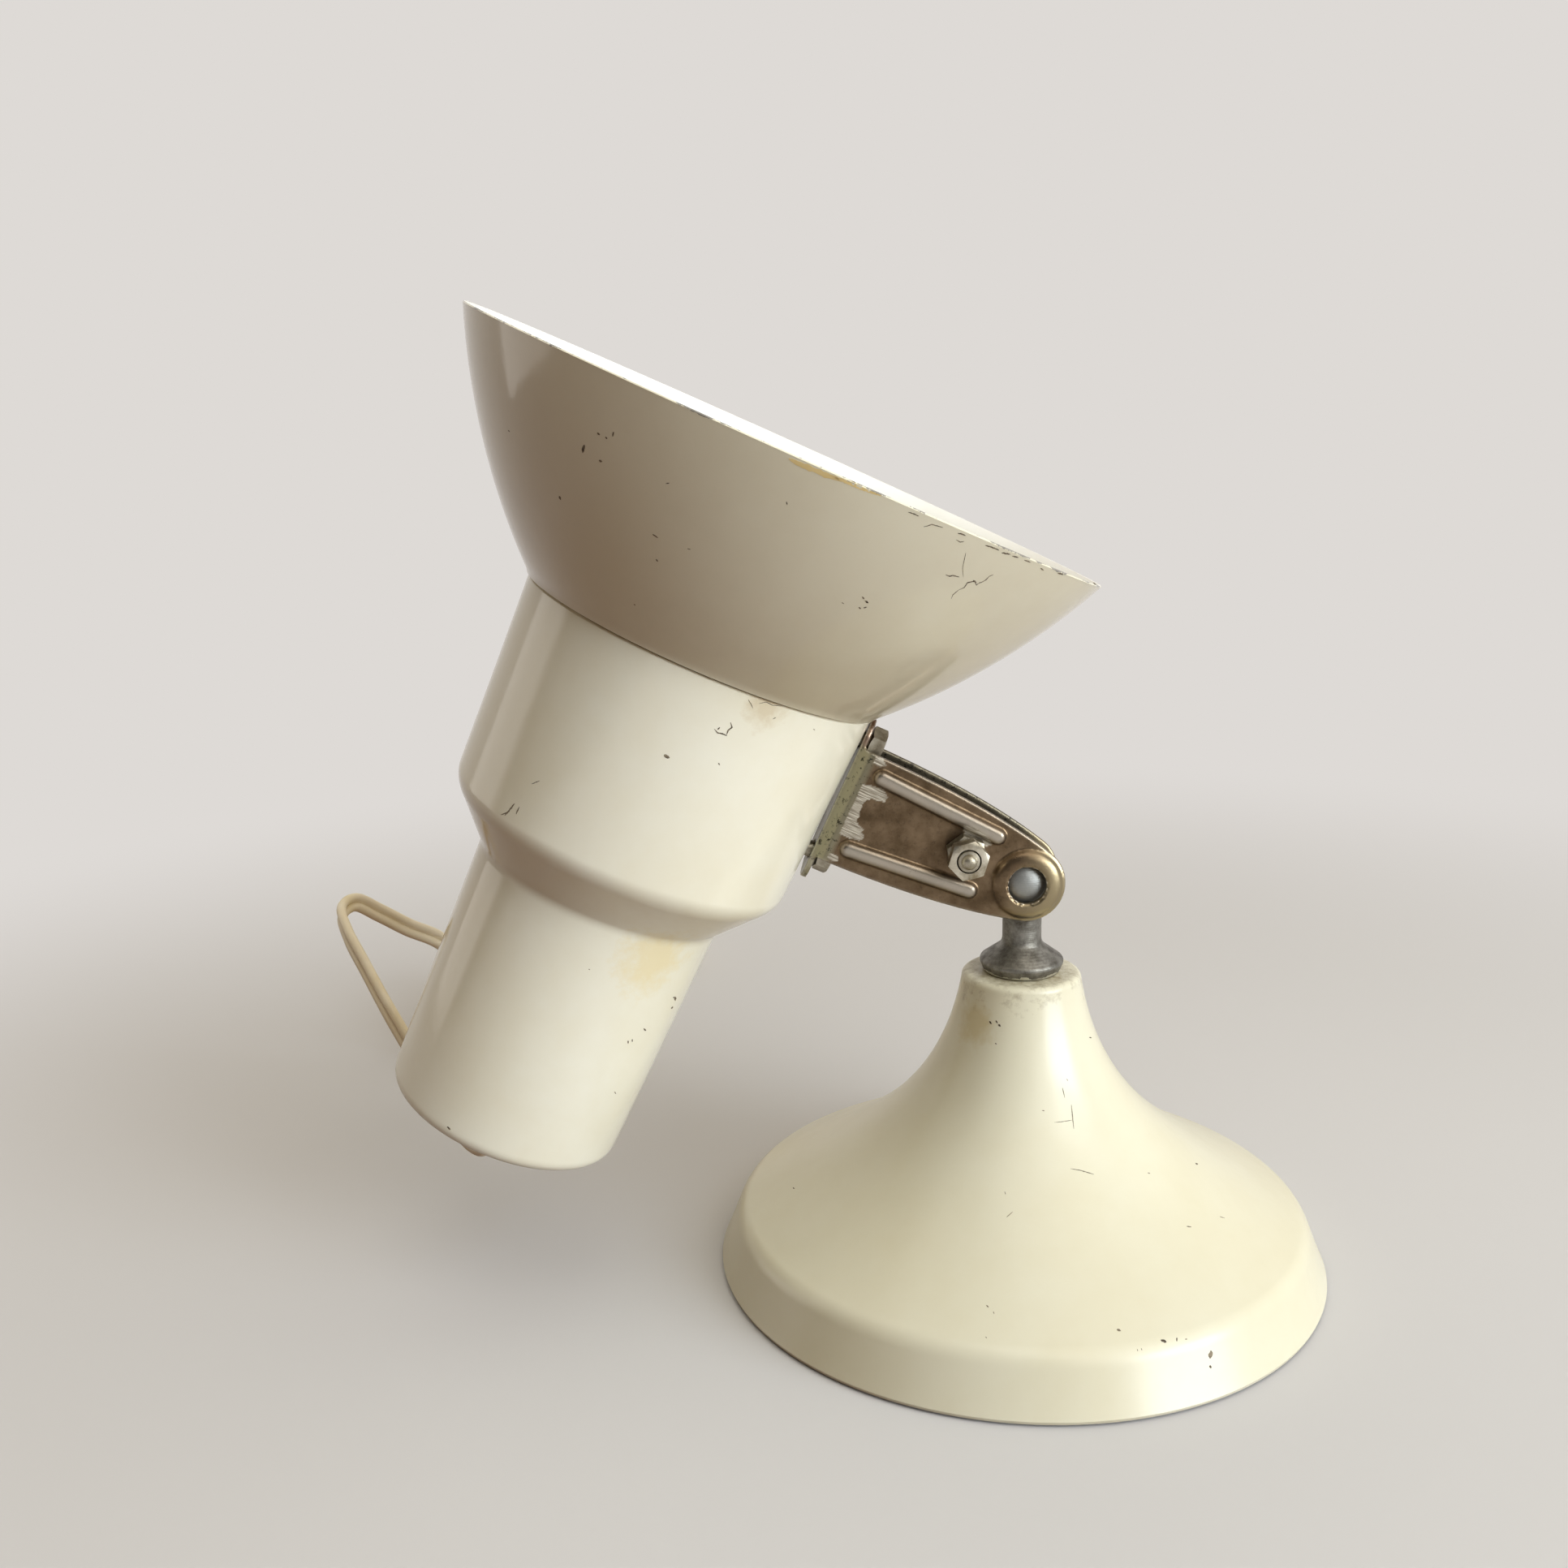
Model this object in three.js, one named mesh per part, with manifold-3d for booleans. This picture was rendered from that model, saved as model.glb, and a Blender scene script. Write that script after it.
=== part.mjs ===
// Spot table lamp: an enamelled cone of light on a ball joint, over a trumpet foot.
// Millimetres, +Z up, origin at the middle of the foot on the table, +X to the right.

import * as THREE from 'three';
import { mergeVertices } from 'three/addons/utils/BufferGeometryUtils.js';
import Module from 'manifold-3d';

const wasm = await Module();
wasm.setup();

// Fits shared by all pieces
const clearance = 0.3; // between pieces that touch or slide
const overrun = 2; // how far a cutter runs past the face that it opens
const weld = 0.0001; // vertices closer than this are one

// Trumpet foot, spun from one disc
const footDiameter = 140;
const footHeight = 70;
const footSheet = 1.2;
const footLift = 0.5; // edge of the ring above the table
const footTopRadius = 13.6;
const footTopRound = 1.8;
const ringFlare = 4.7; // how far the ring stands out past the shoulder
const shoulderHeight = 13;
const shoulderRound = 2.2;
const flareShares = [[0.104, 0.561], [0.472, 0.737]]; // of the run out and of the drop
const feltThickness = 2.3;
const feltEdgeGap = 0.9; // to the inside of the ring

// Cast ballast inside the foot
const ballastWeb = 4;
const ballastWebBottom = 7.5;
const ballastRimWidth = 11.6;
const ballastHubRadius = 14;
const ballastHubHeight = 18;
const ballastRecessRadius = 13;
const ballastRecessHeight = 10.4;
const ballastEdgeGap = 1.6; // to the inside of the ring

// Ball stud that stands on the foot
const ballRadius = 6.9;
const ballRise = 22; // from the foot's top to the middle of the ball
const stemRadius = 4.4;
const studFootRadius = 9.5;
const studSeatRadius = 8.6;
const studEdgeHeight = 2.2;
const studLandHeight = 0.6;
const studConeHeight = 3.7;
const studBoreDepth = 11;

// Tie rod under the stud, with its washer and nut
const rodRadius = 3;
const washerRadius = 9;
const washerThickness = 1.5;
const rodNutWidth = 10;
const rodNutHeight = 5;
const rodEnd = 0.8; // that the rod shows past its nut

// Swing of the head: how it leans and how far its axis is from the ball
const headLean = THREE.MathUtils.degToRad(24.75);
const headReach = 86.6;

// Housing: a wide body, a sloping step and a long neck, spun in one piece
const bodyTopRadius = 40.15;
const bodyTop = 19.9; // heights along the head's axis count from the ball
const bodyBottomRadius = 38.9;
const bodyBottom = -25.4;
const bodyRound = 5;
const stepRadius = 29.4;
const stepHeight = -37.6;
const neckTopRadius = 28.4;
const neckTop = -39.4;
const neckEndRadius = 27;
const neckEnd = -99;
const neckRound = 3;
const housingSheet = 1.1;
const neckBore = 5.3;

// Shade: a bowl whose sleeve sits inside the housing
const shadeRimRadius = 72.4;
const shadeRim = 66;
const shadeMiddleRadius = 58.5;
const shadeMiddle = 41.3;
const shadeFootRadius = 41.4;
const shadeSheet = 1;
const shadeSleeveDepth = 14;
const shadeRoll = 0.8;

// Yoke: one U of steel sheet with a cup in each cheek
const yokeSheet = 1.3;
const yokeHalfWidth = 6.2;
const yokeHalfHeight = 13.3;
const yokeTipRadius = 8.7;
const yokeBend = 3.7; // outside radius where the web turns into a cheek
const yokeTangentAngle = THREE.MathUtils.degToRad(73);
const yokeCrownShare = 0.64; // where along the cheek its edge begins to close
const tabReach = 19.7;
const tabHalfWidth = 4.7;
const cupClearance = 0.5;
const cupHoleRadius = 4.25;
const cupFootRadius = 7.7;
const ribRadius = 1.9;
const ribStand = 1; // above the cheek
const upperRib = { from: [-39.3, 9], to: [-10.6, 7.3] };
const lowerRib = { from: [-39.6, -8.6], to: [-11.2, -6.4] };

// Clamp screw through both cheeks
const clampPlace = [-15.6, 1.2];
const clampRadius = 2.4;
const clampHeadRadius = 4.2;
const clampHeadHeight = 3;
const clampNutWidth = 8;
const clampNutHeight = 3.6;
const clampEnd = 1.5;
const lockNutTurn = 20; // degrees from the other nut
const slotWidth = 1.1;
const slotDepth = 1.2;

// Two bolts that hold the yoke on the housing
const boltHeights = { upper: 14.2, lower: -13.2 };
const boltRadius = 1.9;
const boltHeadWidth = 7;
const boltHeadHeight = 3.3;
const boltNutWidth = 7;
const boltNutHeight = 3.2;
const boltEnd = 1;

// Lampholder with its threaded tube, lock nut and cord grip
const holderRadius = 20.2;
const holderBottom = -88;
const holderSplit = -69;
const holderTop = -40;
const holderBossRadius = 8;
const holderTubeDepth = 8;
const holderRound = 2.5;
const holderWireBore = 3;
const holderContactRadius = 5;
const holderContactThickness = 0.7;
const tubeRadius = 5;
const tubeBore = 3.7;
const tubeEnd = 1.8; // below the end of the neck
const tubeNutWidth = 14;
const tubeNutHeight = 2.6;
const gripRadius = 7.2;
const gripHeight = 2.4;
const gripNozzleRadius = 3.7;
const gripNozzleHeight = 1.1;
const gripBore = 1.9;

// Bulb with a screw cap
const bulbLength = 105;
const bulbRadius = 30;
const bulbGlass = 0.9;
const bulbNeckRadius = 11.9;
const capRadius = 13;
const capSheet = 0.7;
const capHeight = 21;
const insulatorHeight = 3;
const insulatorRadius = 9.6;
const bulbContactRadius = 4.5;
const bulbContactHeight = 1.3;

// Flat twin flex
const cordWidth = 4.8;
const cordThickness = 2.4;
const cordPitch = 3; // between neighbouring turns of the coil
const cordLayer = 5.4; // between its two layers
const coilTurns = 26 / 3; // in both layers together
const coilReverse = 4.33; // turns from the outside to where it climbs and comes back
const coilClimbTurns = 0.25; // before and after that place
const coilInnerRadius = 20;
const coilCentre = [-122, 210];
const coilSteps = 24; // in one turn
const coilEnd = 4.8; // straight run at each end
const cordFlatShares = [0.62, 0.42]; // of its half width and half thickness, where a corner is cut
const coilEdgeShare = 0.5; // of its half width, kept upright in the coil

// Centre line of the free stretch, from the cord grip to the switch
const leadRoute = [
  [-121.7, 0, 34.9], [-123.4, 0, 31.2], [-126.2, 2.6, 27.4], [-130.2, 7.2, 26.6],
  [-135, 11.4, 30.8], [-140, 15.4, 37.6], [-146, 20, 45.6], [-152.5, 25, 54.8],
  [-158.4, 31, 62.6], [-163.6, 37, 69], [-166.6, 43.6, 73], [-165, 50.6, 73.4],
  [-160.6, 57, 68.4], [-154.6, 62.6, 62.4], [-148.2, 68.2, 57], [-145.2, 74.2, 49.6],
  [-145, 81, 37.6], [-147.4, 88, 25.2], [-151, 96, 14.6], [-153.8, 104, 9.3],
  [-155, 109.6, 8], [-155, 114.4, 8],
];

// Bends of the flex between the switch and the coil, and between the coil and the plug
const switchTailBend = [[-155, 189.9, 7.3], [-155, 194.9, 5.3], [-155, 199.9, 3.3]];
const plugTailBend = [[-118.6, 173.9, 7.8], [-121.8, 169.8, 7.5], [-123.8, 164.9, 7.2]];

// Rocker switch on the cord
const switchCentre = [-155, 148.5];
const switchLength = 58;
const switchWidth = 23;
const switchHeight = 16;
const switchLift = 0.2;
const switchRound = 8;
const switchNozzleLength = 4.8;
const switchNozzleRadius = 4;
const rockerLength = 15;
const rockerWidth = 9;
const rockerDrop = 5.4;
const rockerRise = 3;
const rockerPocket = 0.6; // free space round the rocker
const rockerPinRadius = 1.2;
const rockerPinLength = 1.6;
const rockerRest = THREE.MathUtils.degToRad(8);

// Plug with two round pins
const plugPlace = [-124.4, 155]; // where the cord enters it
const plugLength = 34;
const plugWidth = 25.6;
const plugTailWidth = 13;
const plugHeight = 13.6;
const plugBevel = 2;
const plugLift = 0.2;
const plugNozzleLength = 12;
const plugNozzleRadius = 4.2;
const plugNozzleEndRadius = 3.4;
const pinRadius = 2;
const pinLength = 19;
const pinSpacing = 18.6;

// Facets of round pieces
const wideFacets = 40;
const mediumFacets = 24;
const smallFacets = 16;

// Finishes
const enamel = { color: 0xeee8cf, roughness: 0.32, metalness: 0 };
const zinc = { color: 0x8d9090, roughness: 0.5, metalness: 0.9 };
const nickel = { color: 0x9c8d78, roughness: 0.42, metalness: 0.85 };
const screwSteel = { color: 0x9d9687, roughness: 0.45, metalness: 0.85 };
const castIron = { color: 0x4a4a4a, roughness: 0.8, metalness: 0.6 };
const felt = { color: 0x3f4a3c, roughness: 1, metalness: 0 };
const phenolic = { color: 0x2a1d16, roughness: 0.4, metalness: 0 };
const brass = { color: 0xb59655, roughness: 0.35, metalness: 0.9 };
const aluminium = { color: 0xb9bbb8, roughness: 0.4, metalness: 0.9 };
const glass = { color: 0xf3efe4, roughness: 0.2, metalness: 0 };
const blackGlass = { color: 0x1b1a1c, roughness: 0.3, metalness: 0 };
const amber = { color: 0xa8793a, roughness: 0.5, metalness: 0 };
const flex = { color: 0xe3d7ad, roughness: 0.55, metalness: 0 };
const cream = { color: 0xded3b0, roughness: 0.45, metalness: 0 };

// A closed geometry as a solid that can be joined and cut, with its faces pointing out
function solid(geometry) {
  const bare = geometry.index ? geometry.toNonIndexed() : geometry.clone();
  bare.deleteAttribute('normal');
  bare.deleteAttribute('uv');
  const merged = mergeVertices(bare, weld);
  const place = merged.attributes.position;
  const source = merged.index.array;
  const faces = [];
  const a = new THREE.Vector3();
  const b = new THREE.Vector3();
  const c = new THREE.Vector3();
  let volume = 0;
  for (let i = 0; i < source.length; i += 3) {
    const [p, q, r] = source.slice(i, i + 3);
    if (p === q || q === r || r === p) continue;
    faces.push(p, q, r);
    a.fromBufferAttribute(place, p);
    b.fromBufferAttribute(place, q);
    c.fromBufferAttribute(place, r);
    volume += a.dot(b.cross(c));
  }
  if (volume < 0) faces.reverse();
  const vertProperties = Float32Array.from(place.array);
  const triVerts = Uint32Array.from(faces);
  return new wasm.Manifold(new wasm.Mesh({ numProp: 3, vertProperties, triVerts }));
}

// A solid as a named mesh with its finish
function piece(name, shape, finish, parent) {
  const cut = shape.getMesh();
  const geometry = new THREE.BufferGeometry();
  geometry.setAttribute('position', new THREE.BufferAttribute(Float32Array.from(cut.vertProperties), 3));
  geometry.setIndex(Array.from(cut.triVerts));
  geometry.computeVertexNormals();
  const mesh = new THREE.Mesh(geometry, new THREE.MeshStandardMaterial(finish));
  mesh.name = name;
  parent.add(mesh);
  return mesh;
}

// A profile of radius and height, spun about the vertical axis
function spun(points, facets) {
  const profile = points.map(([radius, height]) => new THREE.Vector2(radius, height));
  const onAxis = profile[0].x === 0 && profile[profile.length - 1].x === 0;
  if (!onAxis) profile.push(profile[0].clone());
  return new THREE.LatheGeometry(profile, facets).rotateX(Math.PI / 2);
}

// Points along a path as pairs: one step for each line, and the given steps for its curves in turn
function along(path, steps) {
  const left = [...steps];
  const points = [path.curves[0].getPoint(0)];
  path.curves.forEach((curve) => {
    const count = curve.isLineCurve ? 1 : left.shift();
    points.push(...curve.getPoints(count).slice(1));
  });
  return points.map((point) => [point.x, point.y]);
}

// The same line moved to its left by a sheet's thickness
function offset(points, distance) {
  return points.map((point, i) => {
    const before = points[Math.max(i - 1, 0)];
    const after = points[Math.min(i + 1, points.length - 1)];
    const run = [after[0] - before[0], after[1] - before[1]];
    const length = Math.hypot(run[0], run[1]);
    return [point[0] - (run[1] / length) * distance, point[1] + (run[0] / length) * distance];
  });
}

// Radius or height read off a profile, whose values rise or fall along it
function readProfile(points, from, to, at) {
  for (let i = 1; i < points.length; i += 1) {
    const low = points[i - 1];
    const high = points[i];
    const share = (at - low[from]) / (high[from] - low[from]);
    if (share >= 0 && share <= 1) return low[to] + share * (high[to] - low[to]);
  }
  return points[points.length - 1][to];
}

// A flat outline drawn out from one level to another: upright, or across the lamp
function slab(shape, low, high, curveSegments) {
  const settings = { depth: high - low, bevelEnabled: false, curveSegments };
  const geometry = new THREE.ExtrudeGeometry(shape, settings);
  return geometry.translate(0, 0, low);
}

function crossSlab(shape, low, high, curveSegments) {
  return slab(shape, -high, -low, curveSegments).rotateX(Math.PI / 2);
}

// A rod, disc or cone along an axis between two stations
function rod(axis, radius, low, high, facets, endRadius = radius) {
  const geometry = new THREE.CylinderGeometry(endRadius, radius, high - low, facets);
  geometry.translate(0, (high + low) / 2, 0);
  if (axis === 'z') geometry.rotateX(Math.PI / 2);
  if (axis === 'x') geometry.rotateZ(-Math.PI / 2);
  return geometry;
}

// A hexagon of a given width across its flats
function hexagon(axis, width, low, high) {
  return rod(axis, width / Math.sqrt(3), low, high, 6);
}

const lamp = new THREE.Group();

// The flare of the foot from its ring up to its top, as radius and height
const flare = new THREE.Path();
const footRadius = footDiameter / 2;
const shoulderRadius = footRadius - ringFlare;
const ringRun = [shoulderRadius - footRadius, shoulderHeight - footLift];
const ringRoundShare = shoulderRound / Math.hypot(ringRun[0], ringRun[1]);
const flareOut = shoulderRadius - footTopRadius;
const flareDrop = footHeight - footTopRound - shoulderHeight;
const flareControls = flareShares.map(([out, drop]) => [
  footTopRadius + out * flareOut,
  footHeight - footTopRound - drop * flareDrop,
]);
const flareRun = [flareControls[1][0] - shoulderRadius, flareControls[1][1] - shoulderHeight];
const flareRoundShare = shoulderRound / Math.hypot(flareRun[0], flareRun[1]);
flare.moveTo(footRadius, footLift);
flare.lineTo(shoulderRadius - ringRun[0] * ringRoundShare, shoulderHeight - ringRun[1] * ringRoundShare);
flare.quadraticCurveTo(
  shoulderRadius,
  shoulderHeight,
  shoulderRadius + flareRun[0] * flareRoundShare,
  shoulderHeight + flareRun[1] * flareRoundShare,
);
flare.bezierCurveTo(
  flareControls[1][0],
  flareControls[1][1],
  flareControls[0][0],
  flareControls[0][1],
  footTopRadius,
  footHeight - footTopRound,
);
flare.quadraticCurveTo(footTopRadius, footHeight, footTopRadius - footTopRound, footHeight);
const rodBore = rodRadius + clearance;
flare.lineTo(rodBore, footHeight);
const footOutside = along(flare, [3, 9, 3]);
const footInside = offset(footOutside, footSheet);
footInside[footInside.length - 1][0] = rodBore;

// Spun foot
const footShell = spun([...footOutside, ...footInside.reverse()], wideFacets);
piece('base_shell', solid(footShell), enamel, lamp);
footInside.reverse();

// Felt under the ballast
const feltRadius = readProfile(footInside, 1, 0, feltThickness) - feltEdgeGap;
piece('base_felt', solid(rod('z', feltRadius, 0, feltThickness, wideFacets)), felt, lamp);

// Ballast: a rim tucked under the shoulder, a web and a hub round the tie rod
const ballastBottom = feltThickness + clearance;
const ballastRadius = readProfile(footInside, 1, 0, shoulderHeight - footSheet) - ballastEdgeGap;
const ballastRimInner = ballastRadius - ballastRimWidth;
const ballastWebTop = ballastWebBottom + ballastWeb;
const underFlare = (radius) => readProfile(footInside.slice().reverse(), 0, 1, radius) - clearance;
const ballastRimMiddle = ballastRadius - ballastRimWidth / 2;
const ballastProfile = [
  [rodBore, ballastRecessHeight],
  [ballastRecessRadius, ballastRecessHeight],
  [ballastRecessRadius, ballastWebBottom],
  [ballastRimInner, ballastWebBottom],
  [ballastRimInner + ballastWeb / 2, ballastBottom],
  [ballastRadius, ballastBottom],
  [ballastRadius, underFlare(ballastRadius) - clearance],
  [ballastRimMiddle, underFlare(ballastRimMiddle) - clearance],
  [ballastRimInner, ballastWebTop],
  [ballastHubRadius + ballastWeb, ballastWebTop],
  [ballastHubRadius, ballastHubHeight],
  [rodBore, ballastHubHeight],
];
piece('base_ballast', solid(spun(ballastProfile, mediumFacets)), castIron, lamp);

// Ball stud: a seat, a cone, a stem and the ball, bored from below for the tie rod
const studSeat = footHeight + clearance;
const ballHeight = footHeight + ballRise;
const studLine = new THREE.Path();
const studEdge = studSeat + studEdgeHeight;
const coneFoot = studEdge + studLandHeight;
const ballNeckAngle = -Math.acos(stemRadius / ballRadius);
studLine.moveTo(0, studSeat + studBoreDepth);
studLine.lineTo(rodBore, studSeat + studBoreDepth);
studLine.lineTo(rodBore, studSeat);
studLine.lineTo(studSeatRadius, studSeat);
studLine.lineTo(studFootRadius, studEdge);
studLine.lineTo(studFootRadius - studLandHeight / 2, coneFoot);
studLine.lineTo(stemRadius + studLandHeight, coneFoot + studConeHeight - studLandHeight);
studLine.lineTo(stemRadius, coneFoot + studConeHeight + studLandHeight);
studLine.absarc(0, ballHeight, ballRadius, ballNeckAngle, Math.PI / 2, false);
const studProfile = along(studLine, [9]);
studProfile[studProfile.length - 1][0] = 0;
piece('ball_stud', solid(spun(studProfile, mediumFacets)), zinc, lamp);

// Tie rod with its washer and nut in the recess of the ballast
const washerTop = ballastRecessHeight - clearance;
const rodNutTop = washerTop - washerThickness - clearance;
const rodNutBottom = rodNutTop - rodNutHeight;
const rodTop = studSeat + studBoreDepth - clearance;
const tieRod = solid(rod('z', rodRadius, rodNutBottom - rodEnd, rodTop, smallFacets));
piece('tie_rod', tieRod, screwSteel, lamp);
const washerRing = [
  [rodBore, washerTop - washerThickness],
  [washerRadius, washerTop - washerThickness],
  [washerRadius, washerTop],
  [rodBore, washerTop],
];
piece('tie_rod_washer', solid(spun(washerRing, mediumFacets)), screwSteel, lamp);
const rodNutHole = solid(rod('z', rodBore, rodNutBottom - overrun, rodNutTop + overrun, smallFacets));
const rodNut = solid(hexagon('z', rodNutWidth, rodNutBottom, rodNutTop)).subtract(rodNutHole);
piece('tie_rod_nut', rodNut, screwSteel, lamp);

// The head turns on the ball: its own frame has the ball at its origin and its axis upright
const head = new THREE.Group();
head.position.z = ballHeight;
head.rotation.y = headLean;
lamp.add(head);
const spot = new THREE.Group();
spot.position.x = -headReach;
head.add(spot);

// Outside of the housing, from the bore in its end up to its open top
const housingLine = new THREE.Path();
const neckRun = [neckTopRadius - neckEndRadius, neckTop - neckEnd - neckRound];
housingLine.moveTo(neckBore, neckEnd);
housingLine.lineTo(neckEndRadius - neckRound, neckEnd);
housingLine.quadraticCurveTo(neckEndRadius, neckEnd, neckEndRadius, neckEnd + neckRound);
housingLine.lineTo(neckEndRadius + neckRun[0] / 2, neckEnd + neckRound + neckRun[1] / 2);
housingLine.lineTo(neckTopRadius, neckTop);
housingLine.lineTo(stepRadius, stepHeight);
const stepRise = bodyBottom - bodyRound - stepHeight;
housingLine.lineTo(bodyBottomRadius - bodyRound * Math.SQRT1_2, stepHeight + stepRise);
housingLine.quadraticCurveTo(bodyBottomRadius, bodyBottom - bodyRound / 2, bodyBottomRadius, bodyBottom);
housingLine.lineTo((bodyBottomRadius + bodyTopRadius) / 2, (bodyBottom + bodyTop) / 2);
housingLine.lineTo(bodyTopRadius, bodyTop);
const housingOutside = along(housingLine, [3, 3]);
const housingInside = offset(housingOutside, housingSheet);
housingInside[0][0] = neckBore;
housingInside[housingInside.length - 1][1] = bodyTop;
const housingInnerRadius = (height) => readProfile(housingInside.slice(2), 1, 0, height);
const boltBore = boltRadius + clearance;
const boltHoles = Object.values(boltHeights).map((height) => {
  const hole = rod('x', boltBore, bodyTopRadius / 2, bodyTopRadius + overrun, smallFacets);
  return solid(hole.translate(0, 0, height));
});
let housing = solid(spun([...housingOutside, ...housingInside.slice().reverse()], wideFacets));
boltHoles.forEach((hole) => {
  housing = housing.subtract(hole);
});
piece('housing', housing, enamel, spot);

// Bowl of the shade through three circles, then its sleeve inside the housing
const bowl = [[shadeFootRadius, bodyTop + clearance + shadeRoll], [shadeMiddleRadius, shadeMiddle]];
bowl.push([shadeRimRadius, shadeRim]);
function circleThrough([a, b, c]) {
  const spread = 2 * (a[0] * (b[1] - c[1]) + b[0] * (c[1] - a[1]) + c[0] * (a[1] - b[1]));
  const square = (p) => p[0] ** 2 + p[1] ** 2;
  const x = (square(a) * (b[1] - c[1]) + square(b) * (c[1] - a[1]) + square(c) * (a[1] - b[1])) / spread;
  const y = (square(a) * (c[0] - b[0]) + square(b) * (a[0] - c[0]) + square(c) * (b[0] - a[0])) / spread;
  return [x, y];
}
const bowlCentre = circleThrough(bowl);
const bowlRadius = Math.hypot(bowl[0][0] - bowlCentre[0], bowl[0][1] - bowlCentre[1]);
const bowlAngle = (point) => Math.atan2(point[1] - bowlCentre[1], point[0] - bowlCentre[0]);
const bowlLine = new THREE.Path();
const bowlTurn = bowlAngle(bowl[2]) < bowlAngle(bowl[0]);
bowlLine.absarc(bowlCentre[0], bowlCentre[1], bowlRadius, bowlAngle(bowl[0]), bowlAngle(bowl[2]), bowlTurn);
const bowlOutside = along(bowlLine, [8]);
const bowlInside = offset(bowlOutside, shadeSheet);
bowlInside[bowlInside.length - 1][1] = shadeRim;
const sleeveTop = bodyTop + clearance;
const sleeveBottom = sleeveTop - shadeSleeveDepth;
const sleeveRadius = housingInnerRadius(sleeveBottom) - clearance;
const sleeveInner = sleeveRadius - shadeSheet;
const shadeProfile = [
  ...bowlOutside,
  ...bowlInside.slice(1).reverse(),
  [sleeveInner, sleeveTop + shadeRoll],
  [sleeveInner, sleeveBottom],
  [sleeveRadius, sleeveBottom],
  [sleeveRadius, sleeveTop],
  [shadeFootRadius - shadeRoll / 2, sleeveTop],
];
const shade = solid(spun(shadeProfile, wideFacets)).subtract(boltHoles[0]);
piece('shade', shade, enamel, spot);

// Plan of the yoke: two cheeks and a web that follows the housing's round
const webRadius = bodyTopRadius + clearance;
const bendCentre = [0, -(yokeHalfWidth - yokeBend)];
bendCentre[0] = Math.sqrt((webRadius + yokeBend) ** 2 - bendCentre[1] ** 2) - headReach;
function yokePlan(inset) {
  const plan = new THREE.Shape();
  const bendTilt = Math.atan2(-bendCentre[1], bendCentre[0] + headReach);
  const half = yokeHalfWidth - inset;
  const bend = yokeBend - inset;
  plan.moveTo(yokeTipRadius + overrun, -half);
  plan.lineTo(bendCentre[0], -half);
  plan.absarc(bendCentre[0], bendCentre[1], bend, -Math.PI / 2, -Math.PI - bendTilt, true);
  plan.absarc(-headReach, 0, webRadius + inset, -bendTilt, bendTilt, false);
  plan.absarc(bendCentre[0], -bendCentre[1], bend, Math.PI + bendTilt, Math.PI / 2, true);
  plan.lineTo(yokeTipRadius + overrun, half);
  plan.closePath();
  return plan;
}

// Side of a cheek: full height at the web, closing round the ball
function cheekSide() {
  const side = new THREE.Shape();
  const back = webRadius - headReach - overrun;
  const touch = [yokeTipRadius * Math.cos(yokeTangentAngle), yokeTipRadius * Math.sin(yokeTangentAngle)];
  const crown = back + (touch[0] - back) * yokeCrownShare;
  side.moveTo(back, -yokeHalfHeight);
  side.quadraticCurveTo(crown, -yokeHalfHeight, touch[0], -touch[1]);
  side.absarc(0, 0, yokeTipRadius, -yokeTangentAngle, yokeTangentAngle, false);
  side.quadraticCurveTo(crown, yokeHalfHeight, back, yokeHalfHeight);
  side.closePath();
  return side;
}
const planSpan = tabReach + overrun;
const yokeOuter = solid(slab(yokePlan(0), -planSpan, planSpan, 6));
const yokeInner = solid(slab(yokePlan(yokeSheet), -planSpan - overrun, planSpan + overrun, 6));
const cheekBlock = solid(crossSlab(cheekSide(), -yokeHalfWidth, yokeHalfWidth, 12));
let yoke = yokeOuter.intersect(cheekBlock);

// A dished cup and two ribs stand out of each cheek
const cupInner = ballRadius + cupClearance;
const cupOuter = cupInner + yokeSheet;
const cupLine = new THREE.Path();
const cupRimHeight = Math.sqrt(cupOuter ** 2 - cupHoleRadius ** 2);
const cupShoulder = Math.sqrt(cupOuter ** 2 - yokeHalfWidth ** 2);
const cupShoulderAngle = Math.atan2(yokeHalfWidth + ribStand / 2, cupShoulder);
const cupRimAngle = Math.atan2(cupRimHeight, cupHoleRadius);
cupLine.moveTo(0, yokeHalfWidth - yokeSheet);
cupLine.lineTo(cupFootRadius, yokeHalfWidth - yokeSheet);
cupLine.lineTo(cupFootRadius, yokeHalfWidth);
cupLine.quadraticCurveTo(
  cupShoulder,
  yokeHalfWidth,
  cupOuter * Math.cos(cupShoulderAngle),
  cupOuter * Math.sin(cupShoulderAngle),
);
cupLine.absarc(0, 0, cupOuter, cupShoulderAngle, cupRimAngle, false);
cupLine.lineTo(0, cupRimHeight);
const cupBoss = spun(along(cupLine, [3, 3]), mediumFacets);

function rib({ from, to }, radius, level) {
  const length = Math.hypot(to[0] - from[0], to[1] - from[1]);
  const bead = new THREE.CapsuleGeometry(radius, length, 3, 10).rotateZ(Math.PI / 2);
  bead.rotateY(Math.atan2(from[1] - to[1], to[0] - from[0]));
  return bead.translate((from[0] + to[0]) / 2, level, (from[1] + to[1]) / 2);
}
const ribLevel = yokeHalfWidth + ribStand - ribRadius;
const ribHollow = ribRadius - yokeSheet;
const ribHollowLevel = yokeHalfWidth - yokeSheet;
[-1, 1].forEach((side) => {
  yoke = yoke.add(solid(cupBoss.clone().rotateX((-side * Math.PI) / 2)));
  yoke = yoke.add(solid(rib(upperRib, ribRadius, side * ribLevel)));
  yoke = yoke.add(solid(rib(lowerRib, ribRadius, side * ribLevel)));
});
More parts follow.
